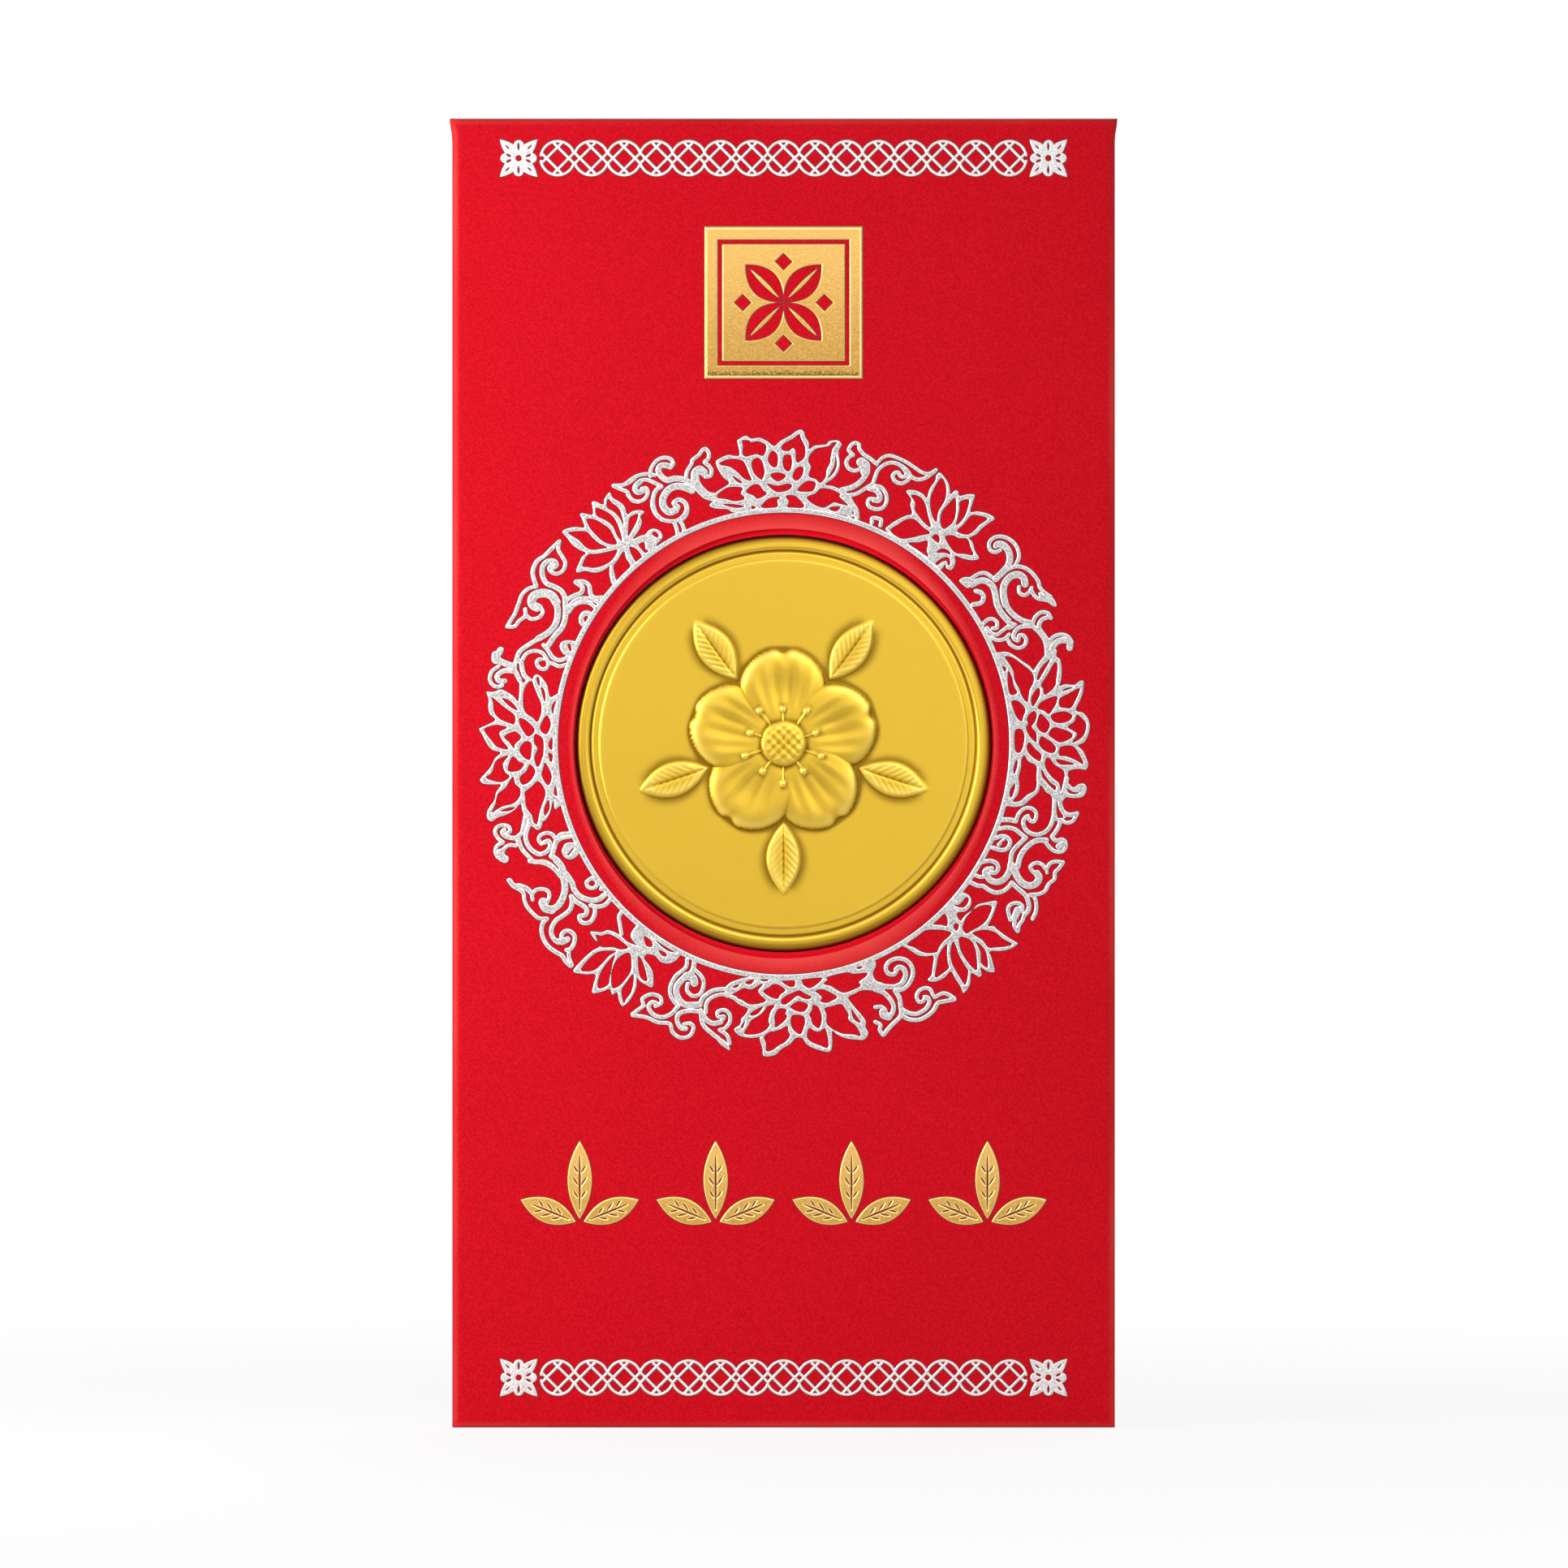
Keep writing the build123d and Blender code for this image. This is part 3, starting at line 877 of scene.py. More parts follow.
@dataclass(frozen=True)
class GoldLeafFinish(FoilFinish):
    """Gold foil with painted shade that deepens from its upper edge to its lower one, where its grain is
    stronger.
    """

    # Lit and shaded tones of the gold, which the painted shade mixes between.
    body_dark: Colour = (0.50, 0.27, 0.045)
    body_light: Colour = (0.87, 0.51, 0.135)
    # Gold painted highlight along the rim, and painted shadow in the line round it.
    rim: Colour = (1.0, 0.86, 0.26)
    shade_line: Colour = (0.22, 0.004, 0.004)
    highlight_width: float = 0.16
    metal: float = 0.55
    grain_per_metre: float = 3600.0
    mottle: float = 0.55
    top_mottle_share: float = 0.4
    # Strength of the painted shade at the lower edge, between the heights top and bottom.
    depth: float = 0.75
    top: float = 150.0
    bottom: float = 125.0

    def body(self, nodes: Nodes, foil: bpy.types.Node) -> Socket:
        """Mixes the light and the dark tone by height and grain, as painted shade towards the lower edge.

        Args:
            nodes: Nodes of the material.
            foil: Node of the shared foil group.

        Returns:
            The colour.
        """
        # Painted shade: 0 at the upper edge, 1 at the lower one, mottled by the grain.
        low = nodes.step(nodes.attribute("up"), self.top, self.bottom)
        grain = nodes.math("SUBTRACT", foil.outputs["Grain"], self.grain_middle)
        mottle = nodes.step(low, 0.0, 1.0, self.top_mottle_share * self.mottle, self.mottle)
        share = nodes.math("MULTIPLY_ADD", grain, mottle, low)
        shaded = nodes.math("MULTIPLY", share, self.depth, clamp=True)
        return nodes.mix(shaded, self.body_light, self.body_dark)


@dataclass(frozen=True)
class SealFinish(GoldLeafFinish):
    """Gold foil with a painted bevel at its outer edge and a painted olive shade along its foot.

    From the edge inwards the bevel is a brown line of painted shade, a tan band and a pale line of painted
    highlight.
    """

    # Painted bevel tones (brown shade, tan, pale highlight) and the olive of the painted shade along the
    # foot.
    brown: Colour = (0.30, 0.10, 0.012)
    tan: Colour = (0.66, 0.36, 0.09)
    pale: Colour = (1.0, 0.84, 0.38)
    olive: Colour = (0.13, 0.075, 0.002)
    frame_steps: Spot = (0.1, 0.2, 0.34)
    frame_blur: float = 0.04
    foot_height: float = 1.1
    foot_core_share: float = 0.3
    foot_waver_share: float = 0.5
    foot_depth: float = 0.85

    def body(self, nodes: Nodes, foil: bpy.types.Node) -> Socket:
        """Adds the painted shade along the foot, and the bevel's painted shade and highlight lines by the
        distance from the outer edge, to the gold.

        Args:
            nodes: Nodes of the material.
            foil: Node of the shared foil group.

        Returns:
            The colour.
        """
        gold = super().body(nodes, foil)
        inset = nodes.attribute("inset")
        # Painted olive shade along the foot, with a wavering upper edge.
        grain = nodes.math("SUBTRACT", foil.outputs["Grain"], self.grain_middle)
        waver = -self.foot_waver_share * self.foot_height
        line = nodes.math("MULTIPLY_ADD", grain, waver, nodes.attribute("up"))
        start = self.bottom + self.foot_height
        end = self.bottom + self.foot_core_share * self.foot_height
        colour = nodes.mix(nodes.step(line, start, end, 0.0, self.foot_depth), gold, self.olive)
        # Painted bevel, from the edge inwards: brown shade line, tan band, pale highlight line.
        for reach, tone in zip(reversed(self.frame_steps), (self.pale, self.tan, self.brown)):
            within = nodes.step(inset, reach + self.frame_blur, reach - self.frame_blur)
            colour = nodes.mix(within, colour, tone)
        return colour


@dataclass(frozen=True)
class CoinFinish(Finish):
    """Satin gold plate, blasted fine, with painted shade in the hollows, groove and outer shoulder of its
    relief and a painted highlight on its crests.
    """

    rough_spread: float = 0.1
    rough_drop: float = 0.05
    strength: float = 0.25
    tooth: float = 0.00002
    # The hollow colour is painted shade; the crest colour is a painted highlight.
    hollow: Colour = (0.27, 0.14, 0.010)
    plate: Colour = (0.745, 0.475, 0.046)
    crest_highlight: Colour = (0.93, 0.66, 0.12)
    drift_per_metre: float = 60.0
    blast_per_metre: float = 9000.0
    highlight_drift: float = 0.3
    highlight_range: Point = (0.2, 1.1)

    def feed(self, nodes: Nodes, shader: bpy.types.Node, effects: Effects) -> None:
        """Joins the painted shade of the hollows, the plate, the painted highlight of the crests and the
        blasted surface to the shader.

        Args:
            nodes: Nodes of the material.
            shader: Its Principled node.
            effects: Shared node groups.
        """
        place = nodes.place()
        painted_shading = nodes.attribute("painted_shading")
        drift = nodes.noise(place, self.drift_per_metre, detail=3.0)
        # Painted shade where the relief lies below its neighbours, painted highlight on its crests.
        shaded = nodes.step(painted_shading, 0.0, -1.0)
        high = nodes.step(nodes.math("MULTIPLY_ADD", drift, self.highlight_drift, painted_shading), *self.highlight_range)
        colour = nodes.mix(high, nodes.mix(shaded, self.plate, self.hollow), self.crest_highlight)
        nodes.join(colour, shader.inputs["Base Color"])
        shader.inputs["Metallic"].default_value = 1.0
        blast = nodes.noise(place, self.blast_per_metre, roughness=0.6)
        self.roughen(nodes, shader, drift, blast)


@dataclass(frozen=True)
class PlainFinish(Finish):
    """Plain sheet or foam: two tones of one colour under a grain of its own."""

    rough_drop: float = 0.07
    strength: float = 0.5
    dark: Colour = (0.4, 0.4, 0.4)
    light: Colour = (0.5, 0.5, 0.5)
    grain_per_metre: float = 1500.0

    def feed(self, nodes: Nodes, shader: bpy.types.Node, effects: Effects) -> None:
        """Joins the speckled tone and the tooth to the shader.

        Args:
            nodes: Nodes of the material.
            shader: Its Principled node.
            effects: Shared node groups.
        """
        inputs = {effects.grain_rate: self.grain_per_metre}
        grain = nodes.add("ShaderNodeGroup", inputs, node_tree=effects.grain).outputs
        nodes.join(nodes.mix(grain["Speck"], self.dark, self.light), shader.inputs["Base Color"])
        self.roughen(nodes, shader, grain["Drift"], grain["Height"])


class Palette:
    """Materials of the whole envelope."""

    def __init__(self) -> None:
        """Makes the materials of all slots, and those of the borders and of the seal."""
        effects = Effects()
        finishes = {
            Slot.CARD: CardFinish("dyed_card", roughness=0.62, specular=0.08),
            # The board's colour is painted lighter than the card's, as painted light on the shaded ledge
            # round the window.
            Slot.BOARD: CardFinish(
                "board_painted_light",
                roughness=0.7,
                specular=0.08,
                dark=(0.74, 0.001, 0.010),
                light=(0.86, 0.003, 0.016),
            ),
            Slot.SILVER: FoilFinish("silver_foil", roughness=0.36),
            Slot.GOLD: GoldLeafFinish("gold_leaf", roughness=0.36, top=36.0, bottom=22.0),
            Slot.COIN: CoinFinish("satin_gold", roughness=0.39),
            Slot.BACKING: PlainFinish(
                "grey_backing",
                roughness=0.85,
                specular=0.25,
                dark=(0.30, 0.28, 0.25),
                light=(0.42, 0.39, 0.35),
            ),
            Slot.TAPE: PlainFinish(
                "paper_tape",
                roughness=0.45,
                dark=(0.62, 0.50, 0.33),
                light=(0.72, 0.60, 0.42),
                grain_per_metre=900.0,
            ),
            Slot.FOAM: PlainFinish(
                "white_foam",
                roughness=0.9,
                specular=0.2,
                dark=(0.68, 0.68, 0.66),
                light=(0.84, 0.84, 0.82),
                grain_per_metre=2200.0,
                tooth=0.0002,
            ),
        }
        self._made = {slot: finish.material(effects) for slot, finish in finishes.items()}
        self.lace = FoilFinish(
            "silver_lace",
            roughness=0.4,
            metal=0.4,
            body_dark=(0.60, 0.58, 0.58),
            body_light=(0.95, 0.93, 0.92),
        ).material(effects)
        low, high = solid_box("square_foil")
        seal = SealFinish("seal_leaf", roughness=0.36, top=high[2], bottom=low[2], highlight_width=0.1)
        self.seal = seal.material(effects)

    def __getitem__(self, slot: Slot) -> bpy.types.Material:
        """Material of a slot."""
        return self._made[slot]

    def dress(self, node: str, slot: Slot) -> bpy.types.Object:
        """Gives a carried-over solid its material.

        Args:
            node: Name of the solid.
            slot: Material slot.

        Returns:
            The solid.
        """
        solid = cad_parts[node]
        solid.data.materials.clear()
        solid.data.materials.append(self[slot])
        return solid


@dataclass(frozen=True)
class Motif:
    """Part of the wreath.

    Points are counted in units to the right and down from the motif's corner, which is in millimetres
    from the window's centre. Widths of strokes are in millimetres.
    """

    corner: Point
    outlines: Sequence[Curve] = ()
    openings: Sequence[Curve] = ()
    strokes: Sequence[tuple[float, Curve]] = ()
    unit: ClassVar[float] = 0.05

    def place(self, curve: Curve, closed: bool) -> np.ndarray:
        """Smooth run of a curve in millimetres from the window's centre.

        Args:
            curve: Given points.
            closed: Whether the curve is closed.

        Returns:
            Array of shape (n, 2).
        """
        return spline(curve, closed) * (self.unit, -self.unit) + self.corner

    def stamp(self, grid: Grid) -> Stamp:
        """Draws the motif.

        Args:
            grid: Grid round the window's centre.

        Returns:
            The motif's shape.
        """
        shape = Stamp(grid)
        for curve in self.outlines:
            shape.outline(self.place(curve, True))
        for width, curve in self.strokes:
            shape.stroke(self.place(curve, False), width)
        for curve in self.openings:
            shape.opening(self.place(curve, True))
        return shape


# Motifs of the wreath
NORTH_LOTUS = Motif(
    corner=(-10.458, 39.206),
    outlines=(
        ((31, 206), (30, 198), (42, 187), (37, 181), (44, 170), (61, 159), (76, 147), (61, 133),
         (49, 114), (44, 98), (48, 90), (72, 79), (88, 81), (101, 80), (100, 64), (96, 45), (100, 40),
         (116, 32), (130, 39), (150, 37), (170, 46), (186, 57), (202, 44), (226, 31), (239, 21),
         (251, 17), (259, 24), (263, 37), (271, 50), (272, 65), (285, 56), (313, 53), (319, 46),
         (332, 43), (345, 45), (351, 55), (345, 66), (344, 77), (347, 101), (343, 119), (332, 135),
         (311, 151), (329, 155), (348, 163), (369, 175), (382, 196), (392, 212), (390, 231),
         (345, 223), (292, 214), (255, 212), (212, 212), (159, 212), (127, 216), (88, 220), (72, 212),
         (50, 211)),
    ),
    openings=(
        ((53, 99), (77, 89), (106, 92), (117, 105), (125, 125), (131, 141), (114, 138), (96, 121),
         (77, 108), (57, 104)),
        ((85, 130), (98, 138), (109, 147), (98, 146), (89, 138)),
        ((108, 44), (125, 44), (130, 48), (149, 46), (167, 57), (163, 77), (154, 81), (143, 77),
         (130, 80), (117, 83), (109, 77), (110, 58)),
        ((203, 62), (212, 50), (231, 40), (248, 29), (252, 40), (262, 61), (262, 80), (256, 90),
         (243, 98), (239, 88), (238, 69), (231, 62), (223, 69), (210, 69)),
        ((270, 96), (273, 80), (287, 65), (308, 60), (321, 57), (328, 50), (339, 49), (329, 64),
         (325, 82), (323, 98), (315, 114), (312, 133), (299, 147), (287, 138), (271, 131), (276, 109)),
        ((337, 82), (334, 104), (327, 119), (317, 136), (331, 123), (339, 106)),
        ((171, 89), (177, 73), (183, 69), (193, 77), (196, 90), (193, 106), (185, 109), (175, 102)),
        ((207, 98), (210, 82), (219, 78), (228, 82), (230, 98), (227, 113), (220, 119), (211, 113)),
        ((133, 93), (145, 86), (157, 96), (163, 119), (159, 135), (153, 139), (138, 125), (131, 106)),
        ((240, 112), (255, 108), (258, 119), (252, 133), (240, 142), (231, 133)),
        ((177, 130), (186, 123), (202, 123), (215, 131), (195, 144)),
        ((168, 149), (186, 153), (199, 154), (220, 149), (230, 155), (220, 165), (196, 170),
         (181, 163)),
        ((44, 182), (64, 163), (85, 157), (109, 160), (105, 173), (114, 186), (90, 192), (69, 187)),
        ((117, 169), (133, 153), (149, 152), (159, 165), (168, 174), (146, 186), (135, 178)),
        ((243, 165), (262, 145), (279, 143), (288, 150), (281, 166), (263, 169)),
        ((266, 183), (287, 173), (300, 161), (324, 163), (345, 173), (358, 185), (369, 202),
         (345, 198), (332, 195), (320, 202), (305, 208), (281, 199)),
        ((155, 207), (173, 186), (200, 182), (194, 191), (193, 206)),
        ((215, 181), (226, 177), (242, 182), (259, 206), (220, 207), (222, 194)),
        ((62, 200), (80, 199), (113, 204), (98, 208), (80, 206)),
        ((131, 211), (133, 203), (142, 208)),
        ((321, 212), (327, 206), (348, 206), (337, 217)),
        ((373, 227), (381, 212), (382, 220), (377, 228)),
    ),
)
NORTH_EAST = Motif(
    corner=(7.385, 37.223),
    outlines=(
        ((102, 223), (111, 210), (131, 197), (152, 187), (166, 183), (162, 162), (164, 149),
         (153, 131), (156, 125), (174, 126), (192, 134), (202, 144), (210, 121), (223, 101), (225, 89),
         (233, 82), (243, 91), (255, 109), (259, 126), (260, 135), (271, 126), (279, 129), (282, 139),
         (303, 135), (319, 137), (316, 152), (309, 178), (326, 177), (352, 183), (368, 195),
         (354, 206), (336, 220), (324, 233), (306, 243), (314, 253), (321, 276), (330, 292),
         (314, 297), (291, 293), (271, 286), (272, 303), (263, 320), (250, 317), (248, 307),
         (236, 320), (223, 311), (192, 286), (162, 266), (131, 248)),
    ),
    openings=(
        ((113, 224), (131, 210), (152, 197), (172, 197), (192, 215), (210, 230), (187, 236),
         (162, 242), (137, 243)),
        ((157, 255), (182, 253), (202, 249), (205, 258), (202, 273), (205, 288), (182, 273)),
        ((164, 139), (177, 138), (191, 147), (200, 164), (205, 187), (212, 214), (202, 211),
         (187, 195), (173, 174), (174, 157)),
        ((238, 96), (249, 116), (249, 142), (240, 162), (231, 177), (226, 202), (217, 192), (211, 167),
         (212, 142), (223, 116)),
        ((271, 144), (274, 164), (272, 190), (263, 207), (243, 220), (235, 202), (240, 177),
         (255, 159)),
        ((283, 154), (305, 149), (301, 174), (291, 195), (274, 211), (279, 187), (282, 172)),
        ((276, 226), (291, 210), (310, 188), (326, 187), (350, 195), (331, 210), (319, 223),
         (301, 234)),
        ((247, 239), (266, 236), (281, 243), (301, 245), (310, 268), (315, 284), (293, 281),
         (273, 279), (258, 263)),
        ((215, 242), (224, 233), (233, 240), (231, 254)),
        ((226, 278), (238, 268), (253, 272), (260, 282), (243, 278)),
        ((224, 303), (243, 290), (257, 292), (259, 306), (254, 309), (250, 298), (238, 301),
         (228, 309)),
        ((76, 206), (81, 201), (83, 206), (80, 211)),
    ),
    strokes=(
        (0.69, ((-5, 125), (20, 118), (40, 105), (54, 87), (57, 72))),
        (1.19, ((52, 81), (52, 66), (42, 57))),
        (0.5, ((43, 71), (27, 78), (11, 72), (6, 57), (13, 44), (22, 40))),
        (0.5, ((22, 40), (12, 28), (16, 17), (25, 10), (36, 14), (38, 25), (48, 38), (63, 48),
               (80, 62))),
        (0.5, ((0, 138), (28, 135), (54, 120), (70, 109), (76, 94), (82, 78), (94, 66), (109, 59),
               (124, 59), (139, 66), (149, 78), (157, 92))),
        (0.5, ((142, 67), (153, 77), (162, 92), (152, 104), (139, 109), (125, 104), (119, 92),
               (124, 83), (133, 83), (138, 91), (147, 93), (153, 87))),
        (0.45, ((80, 60), (94, 46), (111, 41), (131, 47), (152, 57), (172, 70), (190, 82), (207, 85),
               (224, 76))),
        (0.5, ((162, 92), (177, 99), (192, 98), (205, 92), (224, 77))),
        (0.5, ((77, 115), (91, 119), (102, 134), (104, 152), (96, 167), (80, 172), (63, 167),
               (58, 157), (62, 147), (73, 147))),
        (0.69, ((62, 121), (78, 126), (87, 138), (85, 150), (73, 149))),
        (0.59, ((-5, 140), (10, 154), (23, 167), (30, 180), (32, 193))),
        (0.69, ((0, 172), (10, 174), (15, 187))),
        (0.5, ((68, 206), (69, 194), (81, 194), (91, 199), (89, 212))),
    ),
)
EAST_SCROLL = Motif(
    corner=(23.246, 25.328),
    outlines=(
        ((75, 206), (90, 208), (106, 215), (91, 228), (75, 226), (81, 217)),
        ((157, 137), (173, 141), (189, 147), (199, 159), (202, 171), (193, 171), (180, 162),
         (164, 157)),
        ((-36, 109), (-25, 100), (-9, 100), (2, 102), (0, 118), (-14, 127), (-25, 121)),
    ),
    openings=(
        ((40, 214), (46, 207), (51, 214), (46, 220)),
    ),
    strokes=(
        (0.84, ((53, 104), (73, 85), (85, 69), (88, 51), (83, 34), (72, 22), (60, 19))),
        (0.59, ((53, 25), (56, 18), (68, 17))),
        (0.5, ((101, 72), (110, 52), (107, 32), (96, 15), (77, 3), (57, 1), (43, 8), (37, 20),
               (40, 34), (52, 39), (64, 34))),
        (0.5, ((53, 106), (68, 91), (86, 80), (102, 74), (123, 77), (141, 89), (157, 110), (161, 125),
               (171, 137), (187, 148))),
        (0.89, ((77, 167), (72, 141), (75, 117), (89, 99), (107, 94), (121, 102), (125, 117))),
        (0.69, ((140, 212), (118, 206), (98, 193), (83, 176), (74, 155))),
        (0.5, ((110, 124), (111, 138), (123, 144), (135, 137), (141, 126))),
        (0.5, ((141, 134), (150, 148), (163, 154), (180, 152))),
        (0.5, ((-5, 102), (14, 91), (30, 91), (43, 100))),
        (0.79, ((-5, 118), (14, 109), (30, 110), (46, 123), (53, 146), (57, 168), (68, 189), (84, 207))),
        (0.59, ((5, 134), (17, 138), (24, 150), (17, 163), (-2, 167))),
        (0.5, ((22, 215), (32, 205), (44, 202), (56, 210), (56, 224), (46, 225))),
        (0.5, ((32, 224), (43, 237), (57, 240), (68, 232), (80, 223))),
        (0.5, ((39, 247), (59, 254), (76, 250), (86, 240))),
        (0.55, ((141, 220), (125, 220), (109, 224), (98, 238), (98, 250), (107, 255))),
        (0.5, ((82, 253), (91, 266), (107, 273), (122, 268), (128, 255), (121, 243), (111, 242),
               (109, 253))),
        (0.5, ((144, 213), (150, 197), (164, 186), (180, 188), (188, 200))),
        (0.55, ((163, 234), (159, 218), (166, 204), (180, 198))),
        (0.59, ((137, 214), (155, 230), (170, 248), (177, 268), (179, 293))),
        (0.59, ((163, 232), (175, 248), (182, 257))),
        (0.5, ((180, 268), (193, 247), (212, 240), (229, 245), (239, 259))),
        (0.79, ((193, 293), (193, 271), (205, 257), (221, 254), (234, 259), (234, 273))),
        (0.5, ((177, 293), (162, 312), (149, 332))),
    ),
)
EAST_LOTUS = Motif(
    corner=(26.22, 11.45),
    outlines=(
        ((-11, 12), (8, 5), (21, 5), (35, 11), (58, 27), (77, 40), (89, 52), (101, 35), (113, 20),
         (116, 0), (142, 0), (142, 16), (151, 24), (155, 45), (154, 72), (150, 88), (162, 84),
         (186, 85), (199, 76), (208, 77), (208, 98), (202, 119), (190, 147), (207, 154), (220, 170),
         (224, 189), (219, 210), (210, 226), (195, 234), (207, 247), (216, 266), (220, 281),
         (214, 293), (196, 291), (173, 296), (171, 313), (173, 329), (183, 336), (196, 329),
         (210, 329), (216, 340), (210, 356), (194, 362), (170, 358), (157, 372), (159, 390),
         (170, 401), (159, 414), (133, 414), (131, 361), (117, 348), (104, 331), (98, 348), (80, 364),
         (61, 380), (40, 384), (24, 382), (11, 382), (21, 345), (29, 266), (31, 186), (23, 106),
         (5, 40)),
    ),
    openings=(
        ((16, 17), (35, 19), (58, 35), (77, 50), (86, 64), (86, 80), (77, 98), (72, 127), (60, 117),
         (50, 93), (40, 74), (37, 53), (27, 35)),
        ((10, 39), (20, 46), (15, 53)),
        ((25, 52), (33, 66), (39, 90), (46, 105), (29, 109), (23, 77)),
        ((33, 126), (50, 126), (66, 145), (62, 162), (57, 175), (45, 165), (37, 146)),
        ((41, 199), (56, 194), (64, 210), (61, 236), (52, 251), (41, 244)),
        ((127, 23), (114, 48), (98, 74), (96, 64), (106, 42)),
        ((105, 85), (122, 58), (138, 31), (145, 40), (142, 69), (138, 90), (114, 110), (110, 96)),
        ((81, 117), (97, 93), (102, 109), (85, 138)),
        ((97, 143), (106, 127), (141, 113), (143, 127), (135, 143), (123, 157), (112, 149)),
        ((150, 138), (151, 119), (170, 108), (199, 94), (191, 119), (178, 141), (162, 142)),
        ((157, 101), (165, 94), (182, 92), (170, 97)),
        ((129, 161), (143, 153), (165, 151), (181, 161), (173, 173), (154, 179), (135, 175)),
        ((170, 189), (186, 175), (193, 159), (210, 173), (215, 186), (210, 207), (196, 220),
         (181, 226), (191, 210), (190, 202)),
        ((123, 206), (135, 190), (154, 193), (173, 200), (182, 210), (170, 220), (151, 226),
         (135, 218)),
        ((94, 183), (102, 157), (114, 165), (126, 181), (122, 196), (112, 203), (100, 196)),
        ((70, 170), (76, 157), (89, 150), (94, 162), (90, 175), (82, 189), (92, 202), (94, 218),
         (92, 226), (77, 212), (68, 191), (73, 181)),
        ((100, 231), (105, 212), (119, 218), (133, 228), (141, 242), (133, 252), (114, 247)),
        ((70, 236), (76, 226), (90, 242), (105, 256), (102, 272), (85, 263), (73, 250)),
        ((151, 239), (167, 234), (183, 236), (196, 252), (208, 279), (186, 268), (165, 260),
         (149, 258)),
        ((141, 268), (159, 270), (186, 279), (165, 281), (149, 279)),
        ((114, 279), (118, 264), (127, 266), (138, 281), (159, 295), (162, 316), (158, 332),
         (159, 348), (153, 349), (149, 327), (133, 313), (119, 295)),
        ((106, 292), (117, 311), (127, 324), (141, 335), (135, 345), (119, 335), (108, 313)),
        ((64, 258), (74, 273), (93, 284), (93, 316), (94, 327), (90, 343), (72, 353), (53, 369),
         (36, 370), (48, 353), (52, 332), (50, 311), (56, 287), (57, 268)),
        ((42, 273), (47, 271), (46, 287), (40, 303), (37, 295)),
        ((29, 343), (40, 327), (41, 337), (35, 356), (29, 360)),
        ((170, 337), (181, 347), (198, 349), (183, 353), (171, 348)),
        ((142, 374), (147, 373), (150, 390), (159, 409), (145, 409)),
    ),
)
NORTH_WEST = Motif(
    corner=(-19.38, 37.223),
    strokes=(
        (1.04, ((215, 142), (200, 138), (186, 126), (174, 109), (171, 92))),
        (0.99, ((171, 101), (172, 83), (182, 75), (193, 83))),
        (0.5, ((149, 101), (152, 80), (163, 61), (166, 51), (181, 39), (190, 27), (197, 25), (205, 35),
               (204, 48), (195, 57), (206, 67), (212, 78), (209, 90), (197, 93))),
        (0.74, ((162, 109), (142, 99), (121, 97), (104, 101), (89, 92), (82, 78), (87, 66), (101, 65),
               (111, 68))),
        (0.5, ((62, 91), (65, 71), (77, 54), (94, 46), (111, 49), (118, 61), (111, 70))),
        (0.89, ((164, 126), (145, 118), (124, 116), (105, 126), (93, 147), (95, 167), (109, 179),
               (124, 174))),
        (0.59, ((124, 174), (130, 167), (120, 159), (124, 152), (134, 149), (147, 157), (152, 172),
               (148, 187), (137, 198))),
        (0.55, ((89, 117), (76, 126), (69, 147), (70, 167), (77, 185), (91, 198))),
        (0.5, ((89, 116), (71, 107), (53, 100), (38, 102), (27, 112), (24, 124))),
        (0.69, ((38, 104), (27, 114), (25, 125), (33, 131), (46, 126))),
        (0.5, ((8, 138), (18, 149), (33, 153), (48, 147), (56, 133), (52, 121), (42, 121))),
        (0.5, ((73, 89), (58, 86), (38, 88), (20, 96), (0, 111))),
    ),
)
